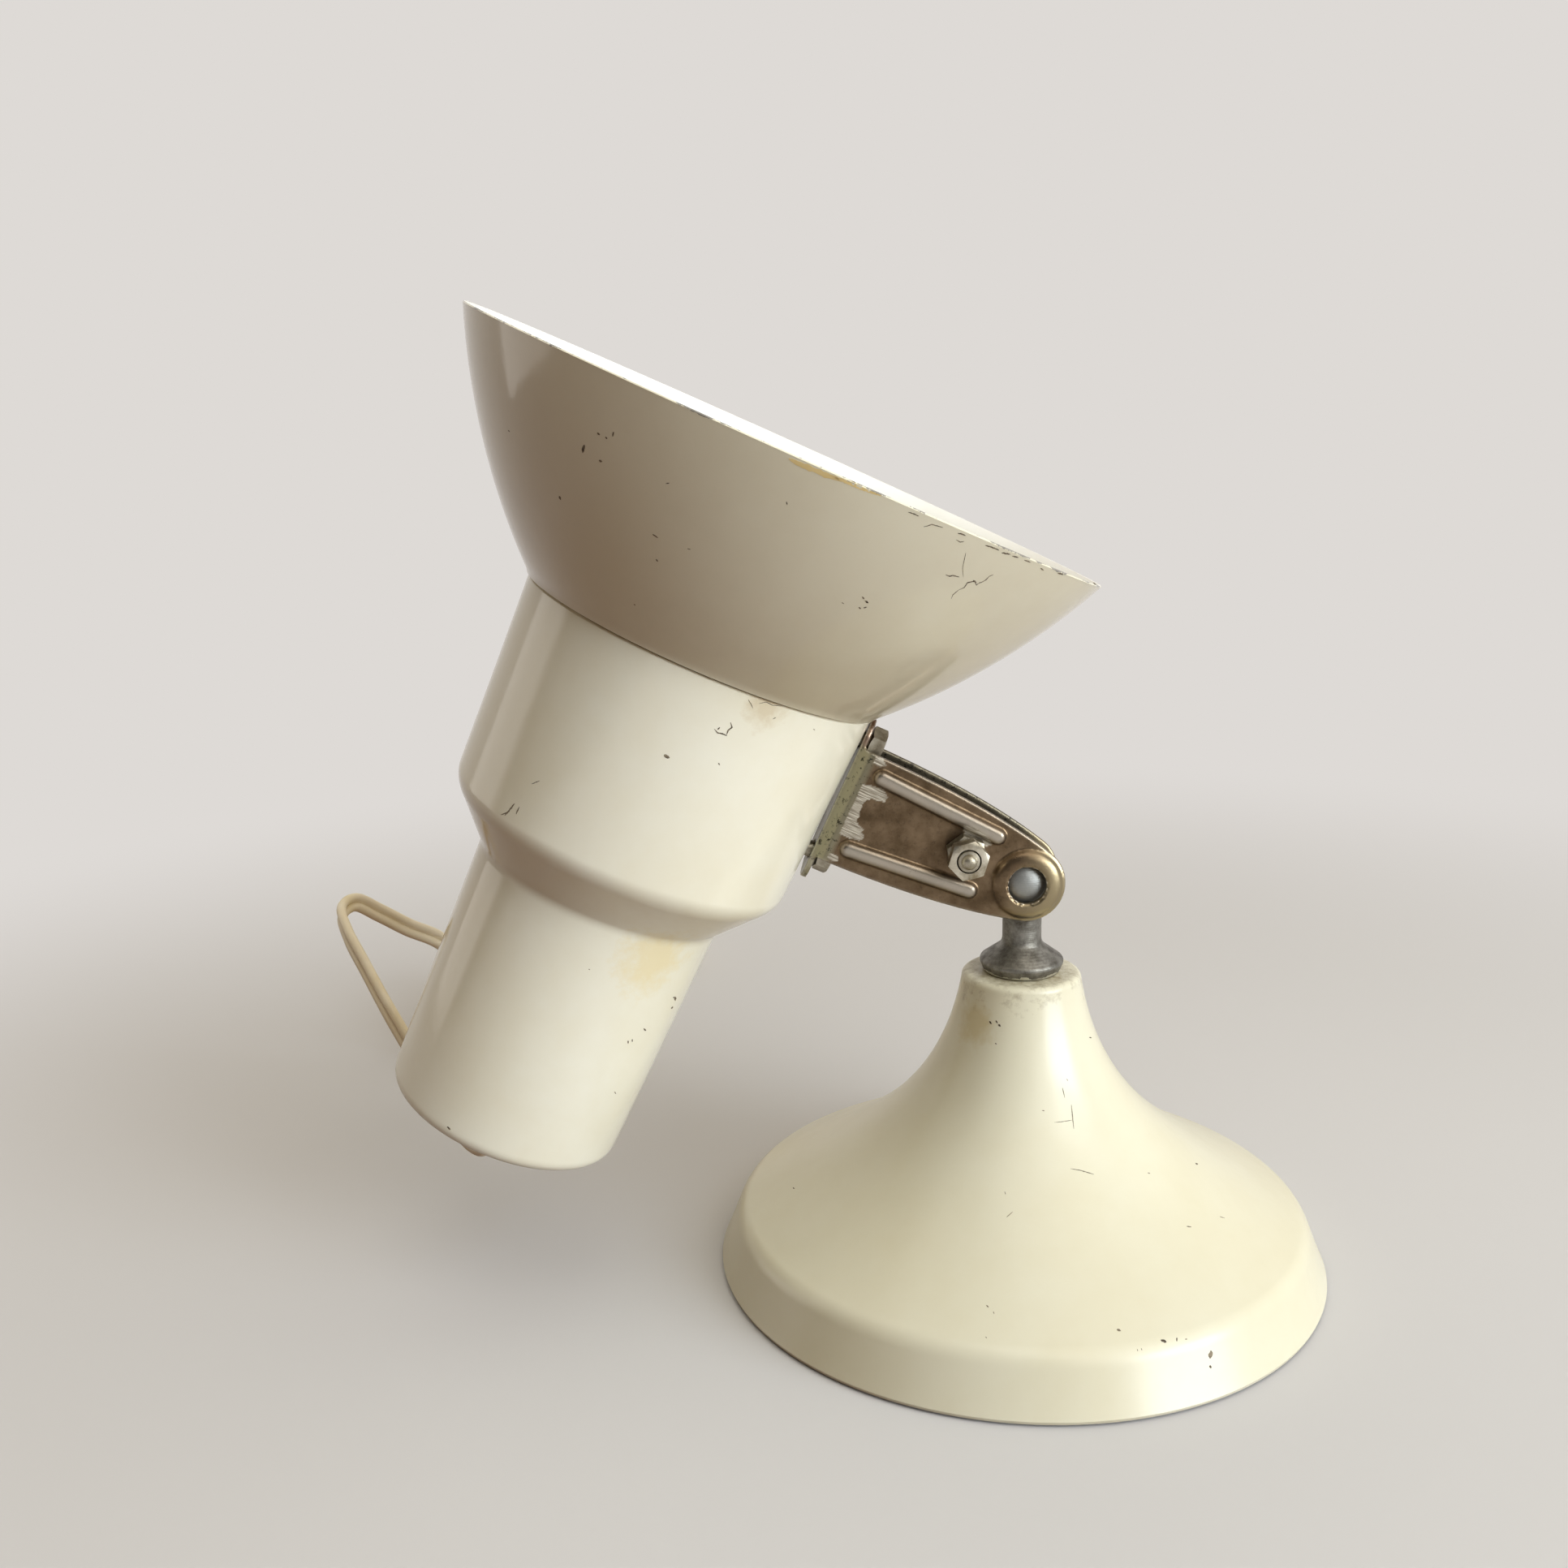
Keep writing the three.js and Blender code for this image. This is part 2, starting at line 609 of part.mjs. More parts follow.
yoke = yoke.subtract(yokeInner);
[-1, 1].forEach((side) => {
  yoke = yoke.subtract(solid(rib(upperRib, ribHollow, side * ribHollowLevel)));
  yoke = yoke.subtract(solid(rib(lowerRib, ribHollow, side * ribHollowLevel)));
});

// Tabs of the web above and below the cheeks, with round ends
const tabSide = new THREE.Shape();
tabSide.absarc(0, tabReach - tabHalfWidth, tabHalfWidth, 0, Math.PI, false);
tabSide.absarc(0, tabHalfWidth - tabReach, tabHalfWidth, Math.PI, Math.PI * 2, false);
const tabBlock = slab(tabSide, webRadius / 2, webRadius + yokeSheet + overrun, 8);
tabBlock.rotateX(Math.PI / 2).rotateZ(Math.PI / 2).translate(-headReach, 0, 0);
const webDisc = rod('z', webRadius + yokeSheet, -planSpan, planSpan, wideFacets * 2);
webDisc.translate(-headReach, 0, 0);
const webCut = rod('z', webRadius, -planSpan - overrun, planSpan + overrun, wideFacets * 2);
const web = solid(webDisc).subtract(solid(webCut.translate(-headReach, 0, 0))).intersect(solid(tabBlock));
yoke = yoke.add(web);

// Seats for the ball and bores for the screws
yoke = yoke.subtract(solid(new THREE.SphereGeometry(cupInner, mediumFacets, smallFacets)));
const cupSpan = cupOuter + overrun;
yoke = yoke.subtract(solid(rod('y', cupHoleRadius, -cupSpan, cupSpan, smallFacets)));
const clampBore = rod('y', clampRadius + clearance, -cupSpan, cupSpan, smallFacets);
yoke = yoke.subtract(solid(clampBore.translate(clampPlace[0], 0, clampPlace[1])));
boltHoles.forEach((hole) => {
  yoke = yoke.subtract(hole.translate([-headReach, 0, 0]));
});
piece('yoke', yoke, nickel, head);

// Clamp screw with a slotted head behind, and a nut and a lock nut in front
const clampHeadSeat = yokeHalfWidth + clearance;
const clampNutBack = -yokeHalfWidth - clearance;
const lockNutBack = clampNutBack - clampNutHeight - clearance;
const clampTip = lockNutBack - clampNutHeight - clampEnd;
const clampHeadTop = clampHeadSeat + clampHeadHeight;
let clampScrew = solid(rod('y', clampRadius, clampTip, clampHeadSeat + clearance, smallFacets));
clampScrew = clampScrew.add(solid(rod('y', clampHeadRadius, clampHeadSeat, clampHeadTop, mediumFacets)));
const slotBox = new THREE.BoxGeometry(slotWidth, slotDepth * 2, clampHeadRadius * 2 + overrun);
clampScrew = clampScrew.subtract(solid(slotBox.translate(0, clampHeadTop, 0)));
const tipCone = solid(rod('y', clampRadius + overrun / 2, clampTip, clampTip + clampEnd * 2, smallFacets));
const tipStop = clampTip + clampEnd * 2;
const tipKeep = rod('y', clampRadius - clampEnd / 2, clampTip, tipStop, smallFacets, clampRadius + clampEnd);
clampScrew = clampScrew.subtract(tipCone.subtract(solid(tipKeep)));
piece('clamp_screw', clampScrew.translate([clampPlace[0], 0, clampPlace[1]]), screwSteel, head);

// A nut along an axis, with a bore that clears its screw
function nut(axis, width, low, high, screwRadius) {
  const bore = rod(axis, screwRadius + clearance, low - overrun, high + overrun, smallFacets);
  return solid(hexagon(axis, width, low, high)).subtract(solid(bore));
}
const clampNut = nut('y', clampNutWidth, clampNutBack - clampNutHeight, clampNutBack, clampRadius);
piece('clamp_nut', clampNut.translate([clampPlace[0], 0, clampPlace[1]]), screwSteel, head);
const lockNut = nut('y', clampNutWidth, lockNutBack - clampNutHeight, lockNutBack, clampRadius);
const turnedNut = lockNut.rotate([0, lockNutTurn, 0]);
piece('clamp_lock_nut', turnedNut.translate([clampPlace[0], 0, clampPlace[1]]), screwSteel, head);

// Yoke bolts, with their heads between the cheeks and their nuts inside the housing
Object.entries(boltHeights).forEach(([where, height]) => {
  const headSeat = webRadius + yokeSheet + clearance;
  const wallInside = where === 'upper' ? sleeveInner : housingInnerRadius(height);
  const cornerReach = boltNutWidth / Math.sqrt(3);
  const nutFace = Math.sqrt(wallInside ** 2 - cornerReach ** 2) - clearance;
  const nutBack = nutFace - boltNutHeight;
  let bolt = solid(rod('x', boltRadius, nutBack - boltEnd, headSeat + clearance, smallFacets));
  bolt = bolt.add(solid(hexagon('x', boltHeadWidth, headSeat, headSeat + boltHeadHeight)));
  piece(`yoke_bolt_${where}`, bolt.translate([0, 0, height]), screwSteel, spot);
  const boltNut = nut('x', boltNutWidth, nutBack, nutFace, boltRadius);
  piece(`yoke_nut_${where}`, boltNut.translate([0, 0, height]), screwSteel, spot);
});

// Lampholder: a cap on a threaded tube, and a barrel over the contact
const tubeTop = holderBottom + holderTubeDepth - clearance;
const capBore = tubeRadius + clearance;
const holderCapProfile = [
  [capBore, holderBottom],
  [holderBossRadius, holderBottom],
  [holderBossRadius + holderRound, holderBottom + holderRound],
  [holderRadius - holderRound, holderBottom + holderTubeDepth],
  [holderRadius, holderBottom + holderTubeDepth + holderRound],
  [holderRadius, holderSplit - clearance],
  [holderWireBore, holderSplit - clearance],
  [holderWireBore, holderBottom + holderTubeDepth],
  [capBore, holderBottom + holderTubeDepth],
];
piece('lampholder_cap', solid(spun(holderCapProfile, mediumFacets)), phenolic, spot);
const barrelBore = capRadius + clearance;
const barrelProfile = [
  [barrelBore, holderSplit],
  [holderRadius, holderSplit],
  [holderRadius, holderTop - holderRound],
  [holderRadius - holderRound, holderTop],
  [barrelBore, holderTop],
];
piece('lampholder_barrel', solid(spun(barrelProfile, mediumFacets)), phenolic, spot);
const contactTop = holderSplit + holderContactThickness;
const holderContact = rod('z', holderContactRadius, holderSplit, contactTop, smallFacets);
piece('lampholder_contact', solid(holderContact), brass, spot);

// Threaded tube through the end of the neck, with its lock nut inside
const tubeBottom = neckEnd - tubeEnd;
const tubeProfile = [
  [tubeBore, tubeBottom],
  [tubeRadius, tubeBottom],
  [tubeRadius, tubeTop],
  [tubeBore, tubeTop],
];
piece('holder_tube', solid(spun(tubeProfile, smallFacets)), screwSteel, spot);
const tubeNutBottom = neckEnd + housingSheet + clearance;
const tubeNut = nut('z', tubeNutWidth, tubeNutBottom, tubeNutBottom + tubeNutHeight, tubeRadius);
piece('holder_tube_nut', tubeNut, screwSteel, spot);

// Cord grip screwed on the tube from outside
const gripTop = neckEnd - clearance;
const gripShoulder = gripTop - gripHeight;
const gripEnd = gripShoulder - gripNozzleHeight;
const gripFloor = tubeBottom - clearance;
const gripProfile = [
  [gripBore, gripEnd],
  [gripNozzleRadius, gripEnd],
  [gripNozzleRadius + gripNozzleHeight / 2, gripShoulder],
  [gripRadius - gripNozzleHeight / 2, gripShoulder],
  [gripRadius, gripShoulder + gripNozzleHeight / 2],
  [gripRadius, gripTop],
  [capBore, gripTop],
  [capBore, gripFloor],
  [gripBore, gripFloor],
];
piece('cord_grip', solid(spun(gripProfile, smallFacets)), amber, spot);

// Bulb: contact, glass insulator, screw cap and a blown envelope that is open towards its cap
const bulbBottom = contactTop + clearance;
const insulatorBottom = bulbBottom + bulbContactHeight;
const capBottom = insulatorBottom + insulatorHeight;
const capTop = capBottom + capHeight;
const bulbTop = bulbBottom + bulbLength;
const bulbMiddle = bulbTop - bulbRadius;
const bulbContact = rod('z', bulbContactRadius, bulbBottom, insulatorBottom, smallFacets);
piece('bulb_contact', solid(bulbContact), brass, spot);
const insulator = rod('z', bulbContactRadius, insulatorBottom, capBottom, smallFacets, insulatorRadius);
piece('bulb_insulator', solid(insulator), blackGlass, spot);
const capProfile = [
  [0, capBottom],
  [insulatorRadius, capBottom],
  [capRadius, capBottom + insulatorHeight],
  [capRadius, capTop],
  [capRadius - capSheet, capTop],
  [capRadius - capSheet, capBottom + insulatorHeight],
  [insulatorRadius, capBottom + capSheet],
  [0, capBottom + capSheet],
];
piece('bulb_cap', solid(spun(capProfile, mediumFacets)), aluminium, spot);
const envelope = new THREE.Path();
const glassFoot = capTop - insulatorHeight;
const glassSwellAngle = -Math.PI / 6;
const swell = [bulbRadius * Math.cos(glassSwellAngle), bulbMiddle + bulbRadius * Math.sin(glassSwellAngle)];
envelope.moveTo(bulbNeckRadius, glassFoot);
envelope.lineTo(bulbNeckRadius, capTop + insulatorHeight);
envelope.quadraticCurveTo(
  bulbNeckRadius + insulatorHeight,
  swell[1] - (swell[0] - bulbNeckRadius - insulatorHeight) / Math.tan(-glassSwellAngle),
  swell[0],
  swell[1],
);
envelope.absarc(0, bulbMiddle, bulbRadius, glassSwellAngle, Math.PI / 2, false);
const glassOutside = along(envelope, [3, 6]);
const glassInside = offset(glassOutside, bulbGlass).reverse();
glassOutside[glassOutside.length - 1][0] = 0;
glassInside[0] = [0, bulbTop - bulbGlass];
const glassRing = [...glassInside, ...glassOutside];
piece('bulb_glass', solid(spun(glassRing, mediumFacets)), glass, spot);

// Section of the flex: two cores side by side, drawn as one flat oval of eight sides
function flexSection() {
  const x = cordWidth / 2;
  const y = cordThickness / 2;
  const [flatX, flatY] = [x * cordFlatShares[0], y * cordFlatShares[1]];
  const upper = [[x, flatY], [flatX, y], [-flatX, y], [-x, flatY]];
  const lower = [[-x, -flatY], [-flatX, -y], [flatX, -y], [x, -flatY]];
  return [...upper, ...lower].map((corner) => new THREE.Vector2(...corner));
}

// A line through hand-laid points, along which the flex keeps its wide side upright
class FlexCurve extends THREE.CatmullRomCurve3 {
  computeFrenetFrames(segments) {
    const frames = { tangents: [], normals: [], binormals: [] };
    for (let i = 0; i <= segments; i += 1) {
      const tangent = this.getTangentAt(i / segments);
      const wide = new THREE.Vector3(0, 0, 1);
      wide.addScaledVector(tangent, -tangent.z).normalize();
      frames.tangents.push(tangent);
      frames.normals.push(wide);
      frames.binormals.push(new THREE.Vector3().crossVectors(tangent, wide));
    }
    return frames;
  }
}

// A stretch of flex along such a line
function flexStretch(route, steps) {
  const curve = new FlexCurve(route.map((point) => new THREE.Vector3(...point)), false, 'centripetal');
  const shape = new THREE.Shape(flexSection());
  return new THREE.ExtrudeGeometry(shape, { steps, bevelEnabled: false, extrudePath: curve });
}
piece('cord_lead', solid(flexStretch(leadRoute, 44)), flex, lamp);

// Coil: one unbroken flex that spirals in, climbs a layer and spirals out again
const coilLow = cordWidth / 2 + clearance;
function coilLine(turn) {
  const climbShare = THREE.MathUtils.smoothstep(turn - coilReverse, -coilClimbTurns, coilClimbTurns);
  const radius = coilInnerRadius + Math.abs(turn - coilReverse) * cordPitch;
  const angle = Math.PI - turn * Math.PI * 2;
  const outward = new THREE.Vector3(Math.cos(angle), Math.sin(angle), 0);
  const onward = new THREE.Vector3(outward.y, -outward.x, 0);
  const place = new THREE.Vector3(...coilCentre, coilLow + climbShare * cordLayer);
  return { outward, onward, place: place.addScaledVector(outward, radius) };
}
function coilTube() {
  const x = cordThickness / 2;
  const y = cordWidth / 2;
  const edge = y * coilEdgeShare;
  const section = [[0, y], [x, edge], [x, -edge], [0, -y], [-x, -edge], [-x, edge]];
  function ring({ outward, onward, place }, ahead) {
    return section.map(([out, up]) => {
      const point = place.clone().addScaledVector(outward, out).addScaledVector(onward, ahead);
      point.z += up;
      return point;
    });
  }
  const rings = [ring(coilLine(0), -coilEnd)];
  const count = Math.round(coilTurns * coilSteps);
  for (let i = 0; i <= count; i += 1) {
    rings.push(ring(coilLine(i / coilSteps), 0));
  }
  rings.push(ring(coilLine(coilTurns), coilEnd));
  const sides = rings[0].length;
  const positions = rings.flat().flatMap((point) => point.toArray());
  const faces = [];
  for (let i = 0; i + 1 < rings.length; i += 1) {
    for (let j = 0; j < sides; j += 1) {
      const a = i * sides + j;
      const b = i * sides + ((j + 1) % sides);
      faces.push(a, b, b + sides, a, b + sides, a + sides);
    }
  }
  const last = (rings.length - 1) * sides;
  for (let j = 1; j + 1 < sides; j += 1) {
    faces.push(0, j + 1, j, last, last + j, last + j + 1);
  }
  const geometry = new THREE.BufferGeometry();
  geometry.setAttribute('position', new THREE.BufferAttribute(Float32Array.from(positions), 3));
  geometry.setIndex(faces);
  const least = coilGap(rings, coilSteps / 2);
  console.log(`coil: least gap between its turns ${least.toFixed(2)} mm`);
  return geometry;
}

// Least distance between points of the coil that lie at least half a turn apart
function coilGap(rings, apart) {
  let least = Infinity;
  for (let i = 0; i < rings.length; i += 1) {
    for (let j = i + apart; j < rings.length; j += 1) {
      rings[i].forEach((p) => rings[j].forEach((q) => {
        least = Math.min(least, p.distanceTo(q));
      }));
    }
  }
  return least;
}
piece('cord_coil', solid(coilTube()), flex, lamp);

// Rocker switch: a lower and an upper shell that hold the cord between them
const switchReach = switchLength / 2 + switchNozzleLength;
const switchStop = switchCentre[1] + switchReach;
const switchMiddle = leadRoute[leadRoute.length - 1][2];
function switchOutline() {
  const outline = new THREE.Shape();
  const x = switchWidth / 2;
  const y = switchLength / 2;
  outline.moveTo(-x, -y + switchRound);
  outline.quadraticCurveTo(-x, -y, -x + switchRound, -y);
  outline.lineTo(x - switchRound, -y);
  outline.quadraticCurveTo(x, -y, x, -y + switchRound);
  outline.lineTo(x, y - switchRound);
  outline.quadraticCurveTo(x, y, x - switchRound, y);
  outline.lineTo(-x + switchRound, y);
  outline.quadraticCurveTo(-x, y, -x, y - switchRound);
  return outline;
}
const switchSplit = switchMiddle - clearance / 2;
const switchTop = switchLift + switchHeight;
const switchNozzles = rod('y', switchNozzleRadius, -switchReach, switchReach, smallFacets);
const switchForm = solid(slab(switchOutline(), switchLift, switchTop, 4));
const switchBody = switchForm.add(solid(switchNozzles.translate(0, 0, switchMiddle)));
const switchLowShell = switchBody.trimByPlane([0, 0, -1], -switchSplit);
piece('switch_base', switchLowShell.translate([switchCentre[0], switchCentre[1], 0]), cream, lamp);
let switchCover = switchBody.trimByPlane([0, 0, 1], switchSplit + clearance);
const rockerLevel = switchTop - rockerDrop / 2;
const pocketSides = [rockerWidth + rockerPocket * 2, rockerLength + rockerPocket * 2];
const pocket = new THREE.BoxGeometry(...pocketSides, rockerDrop * 2 + rockerPocket);
pocket.translate(0, 0, rockerLevel);
const pinHalf = rockerWidth / 2 + rockerPinLength;
const pinSeat = rod('x', rockerPinRadius + clearance, -pinHalf - clearance, pinHalf + clearance, smallFacets);
switchCover = switchCover.subtract(solid(pocket)).subtract(solid(pinSeat.translate(0, 0, rockerLevel)));
piece('switch_cover', switchCover.translate([switchCentre[0], switchCentre[1], 0]), cream, lamp);

// Rocker, at rest on its stop towards the lamp
const rockerSide = new THREE.Shape();
const rockerHalf = rockerLength / 2;
rockerSide.moveTo(-rockerHalf, rockerDrop / 2 + rockerRise / 2);
rockerSide.quadraticCurveTo(0, rockerDrop / 2 - rockerRise / 3, rockerHalf, rockerDrop / 2 + rockerRise / 2);
rockerSide.lineTo(rockerHalf, 0);
rockerSide.quadraticCurveTo(0, -rockerDrop / 2 - rockerPinRadius, -rockerHalf, 0);
const rockerPin = rod('x', rockerPinRadius, -pinHalf, pinHalf, smallFacets);
const rockerBlock = slab(rockerSide, -rockerWidth / 2, rockerWidth / 2, 6);
rockerBlock.rotateX(Math.PI / 2).rotateZ(Math.PI / 2);
const rocker = piece('switch_rocker', solid(rockerBlock).add(solid(rockerPin)), phenolic, lamp);
rocker.position.set(switchCentre[0], switchCentre[1], rockerLevel);
rocker.rotation.x = rockerRest;

// Flex from the switch to the coil, and from the coil to the plug
function besideCoil({ onward, place }, ahead) {
  return place.clone().addScaledVector(onward, ahead).toArray();
}
const tailOne = [
  [switchCentre[0], switchStop + clearance, switchMiddle],
  [switchCentre[0], switchStop + clearance + cordThickness, switchMiddle],
  ...switchTailBend,
  besideCoil(coilLine(0), -coilEnd - clearance),
];
piece('cord_switch_tail', solid(flexStretch(tailOne, 14)), flex, lamp);

// Plug: a tapered moulding with a sleeve for the cord and two round pins, which points back at the lamp
const plugMiddle = plugLift + plugHeight / 2;
const plugStart = plugNozzleLength;
const plugStop = plugStart + plugLength;
const tailTwo = [
  besideCoil(coilLine(coilTurns), coilEnd + clearance),
  besideCoil(coilLine(coilTurns), coilEnd + cordWidth),
  ...plugTailBend,
  [plugPlace[0], plugPlace[1] + cordWidth, plugMiddle],
  [plugPlace[0], plugPlace[1] + clearance, plugMiddle],
];
piece('cord_plug_tail', solid(flexStretch(tailTwo, 16)), flex, lamp);
const plugSide = new THREE.Shape();
plugSide.moveTo(-plugTailWidth / 2 + plugBevel, plugStart + plugBevel);
plugSide.lineTo(plugTailWidth / 2 - plugBevel, plugStart + plugBevel);
plugSide.lineTo(plugWidth / 2 - plugBevel, plugStart + plugLength / 2);
plugSide.lineTo(plugWidth / 2 - plugBevel, plugStop - plugBevel);
plugSide.lineTo(-plugWidth / 2 + plugBevel, plugStop - plugBevel);
plugSide.lineTo(-plugWidth / 2 + plugBevel, plugStart + plugLength / 2);
const plugForm = new THREE.ExtrudeGeometry(plugSide, {
  depth: plugHeight - plugBevel * 2,
  bevelThickness: plugBevel,
  bevelSize: plugBevel,
  bevelSegments: 2,
});
plugForm.translate(0, 0, plugLift + plugBevel);
function laidPlug(form) {
  return form.rotate([0, 0, 180]).translate([...plugPlace, 0]);
}
const nozzle = rod('y', plugNozzleEndRadius, 0, plugStart + plugBevel, smallFacets, plugNozzleRadius);
let plugBody = solid(plugForm).add(solid(nozzle.translate(0, 0, plugMiddle)));
const socketEnd = plugStop - plugBevel * 3;
[-1, 1].forEach((side, i) => {
  const x = (side * pinSpacing) / 2;
  const socket = rod('y', pinRadius + clearance, socketEnd, plugStop + overrun, smallFacets);
  plugBody = plugBody.subtract(solid(socket.translate(x, 0, plugMiddle)));
  const pin = rod('y', pinRadius, socketEnd + clearance, plugStop + pinLength, smallFacets);
  piece(`plug_pin_${i + 1}`, laidPlug(solid(pin.translate(x, 0, plugMiddle))), brass, lamp);
});
piece('plug_body', laidPlug(plugBody), cream, lamp);

export default lamp;
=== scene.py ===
import random
from math import atan2, ceil, cos, hypot, pi, radians, sin, sqrt

import bmesh
import bpy
from mathutils import Matrix, Vector
from mathutils.bvhtree import BVHTree
from mathutils.geometry import interpolate_bezier


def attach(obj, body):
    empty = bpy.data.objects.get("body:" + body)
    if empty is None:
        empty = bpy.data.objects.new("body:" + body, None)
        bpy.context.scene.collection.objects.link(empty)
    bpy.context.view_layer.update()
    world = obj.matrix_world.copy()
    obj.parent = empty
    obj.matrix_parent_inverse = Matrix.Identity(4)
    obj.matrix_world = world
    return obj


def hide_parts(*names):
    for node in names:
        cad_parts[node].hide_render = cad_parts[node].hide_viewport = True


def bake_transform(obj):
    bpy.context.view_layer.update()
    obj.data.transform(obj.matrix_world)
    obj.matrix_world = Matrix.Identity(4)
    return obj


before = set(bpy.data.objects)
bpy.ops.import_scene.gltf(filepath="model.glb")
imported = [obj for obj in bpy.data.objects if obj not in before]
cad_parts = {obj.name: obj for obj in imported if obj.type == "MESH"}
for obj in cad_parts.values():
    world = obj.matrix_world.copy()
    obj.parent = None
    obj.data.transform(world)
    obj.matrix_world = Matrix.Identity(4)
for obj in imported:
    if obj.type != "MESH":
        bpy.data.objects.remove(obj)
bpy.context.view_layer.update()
scene = bpy.context.scene
scene.view_settings.view_transform = "Standard"
link = scene.collection.objects.link

# Camera: a phone held close to the table, a hand's width above the lamp's shade and looking down on it.
# Its place was worked out from the ellipses of the foot and of the spot.
camera_place = Vector((-0.05227, -0.34843, 0.19495))
camera_yaw, camera_dip, camera_roll = radians(-0.176), radians(13.019), radians(-1.108)
camera_forward = Vector((sin(camera_yaw) * cos(camera_dip), cos(camera_yaw) * cos(camera_dip), -sin(camera_dip)))
level_right = Vector((cos(camera_yaw), -sin(camera_yaw), 0))
level_up = level_right.cross(camera_forward)
camera_right = cos(camera_roll) * level_right + sin(camera_roll) * level_up
camera_up = cos(camera_roll) * level_up - sin(camera_roll) * level_right
lens = bpy.data.cameras.new("camera")
lens.lens, lens.sensor_width, lens.clip_start = 36.95, 36, 0.01
camera = bpy.data.objects.new("camera", lens)
link(camera)
turn = Matrix((camera_right, camera_up, -camera_forward)).transposed()
camera.matrix_world = Matrix.Translation(camera_place) @ turn.to_4x4()
scene.camera = camera

# Flex: flat twin cable, two cores of 2.4 mm side by side in cream PVC that has yellowed with age.
# It leaves the end of the spot, stands up stiffly behind it, drops to the table and passes the switch;
# the rest is wound in a coil on the table behind the lamp.
core_radius, flex_width, groove_share = 1.2, 4.8, 0.32
sharp_from = radians(35)
core_arc = [radians(a) for a in range(-150, 151, 30)]
twin_section = []
for side, facing in ((1, 0), (-1, pi)):
    twin_section += [(side * core_radius + core_radius * cos(a + facing), core_radius * sin(a + facing))
                     for a in core_arc]
    twin_section += [(0, side * groove_share * core_radius)]


def linear(code):
    """An sRGB hex code as a linear colour."""
    parts = [int(code[i:i + 2], 16) / 255 for i in (1, 3, 5)]
    return (*[c / 12.92 if c <= 0.04045 else ((c + 0.055) / 1.055) ** 2.4 for c in parts], 1)


def add(tree, kind, sockets, **settings):
    """A node; each of its sockets takes a value or another node's output."""
    node = tree.nodes.new("ShaderNode" + kind)
    for key, value in settings.items():
        setattr(node, key, value)
    for key, value in sockets.items():
        if isinstance(value, bpy.types.NodeSocket):
            tree.links.new(value, node.inputs[key])
        else:
            node.inputs[key].default_value = value
    return node


def noise(where, scale, detail=2, roughness=0.5):
    """Cloudy noise, with its scale per metre."""
    return add(where.id_data, "TexNoise", {"Vector": where, "Scale": scale, "Detail": detail,
                                           "Roughness": roughness}).outputs["Fac"]


def ramp(value, low, high, start=0, end=1, **settings):
    """A share that goes from start to end as a value goes from low to high."""
    return add(value.id_data, "MapRange", {"Value": value, "From Min": low, "From Max": high, "To Min": start,
                                           "To Max": end}, **settings).outputs["Result"]


def mixed(share, one, other):
    """A colour between two, each a hex code or a node's output."""
    one, other = (linear(c) if isinstance(c, str) else c for c in (one, other))
    return add(share.id_data, "Mix", {"Factor": share, "A": one, "B": other}, data_type="RGBA").outputs["Result"]


def bumpy(height, strength, distance, **under):
    """A surface that a texture lifts."""
    sockets = {"Height": height, "Strength": strength, "Distance": distance, **under}
    return add(height.id_data, "Bump", sockets).outputs[0]


def wire(shader, *outputs):
    """Feeds the shader what is given of its colour, normal and roughness."""
    for name, output in zip(("Base Color", "Normal", "Roughness"), outputs):
        if output is not None:
            shader.id_data.links.new(output, shader.inputs[name])


def new_finish(name, sockets):
    """A material with these plain values, its shader and the piece's own coordinates."""
    finish = bpy.data.materials.new(name)
    finish.use_nodes = True
    shader = finish.node_tree.nodes["Principled BSDF"]
    for key, value in sockets.items():
        shader.inputs[key].default_value = value
    return finish, shader, add(finish.node_tree, "TexCoord", {}).outputs["Object"]


def clouded(name, sockets, one, other, scale, detail=2, between=None, bump=None, grain=None):
    """A finish that drifts between two colours; the same noise or a finer grain can also lift it."""
    finish, shader, here = new_finish(name, sockets)
    cloud = noise(here, scale, detail)
    share = ramp(cloud, *between) if between else cloud
    lift = noise(here, grain) if grain else cloud
    wire(shader, mixed(share, one, other), bumpy(lift, *bump) if bump else None)
    return finish


def as_data(name, mesh):
    """Mesh data of a shape, which is let go."""
    data = bpy.data.meshes.new(name)
    mesh.to_mesh(data)
    mesh.free()
    return data


def place(mesh, name, body, slot, *finishes, instead_of=()):
    """A shape as a piece that rides on a body and stands for plain solids."""
    data = as_data(name, mesh)
    for finish in finishes:
        data.materials.append(finish)
    data.shade_smooth()
    data.set_sharp_from_angle(angle=sharp_from)
    piece = bpy.data.objects.new(name, data)
    link(piece)
    if body:
        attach(piece, body)
    if instead_of:
        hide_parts(*instead_of)
    return piece


# Soft PVC: half gloss, greyed by hands, with fine lines from its drawing.
cream_pvc = clouded("soft_pvc", {"Roughness": 0.5, "IOR": 1.5}, "#fbf2db", "#f2e4bf", 90, 3,
                    between=(0.45, 0.75), bump=(0.1, 0.0002), grain=900)


def outward(mesh):
    """Turns all faces outwards."""
    bmesh.ops.recalc_face_normals(mesh, faces=mesh.faces)
    return mesh


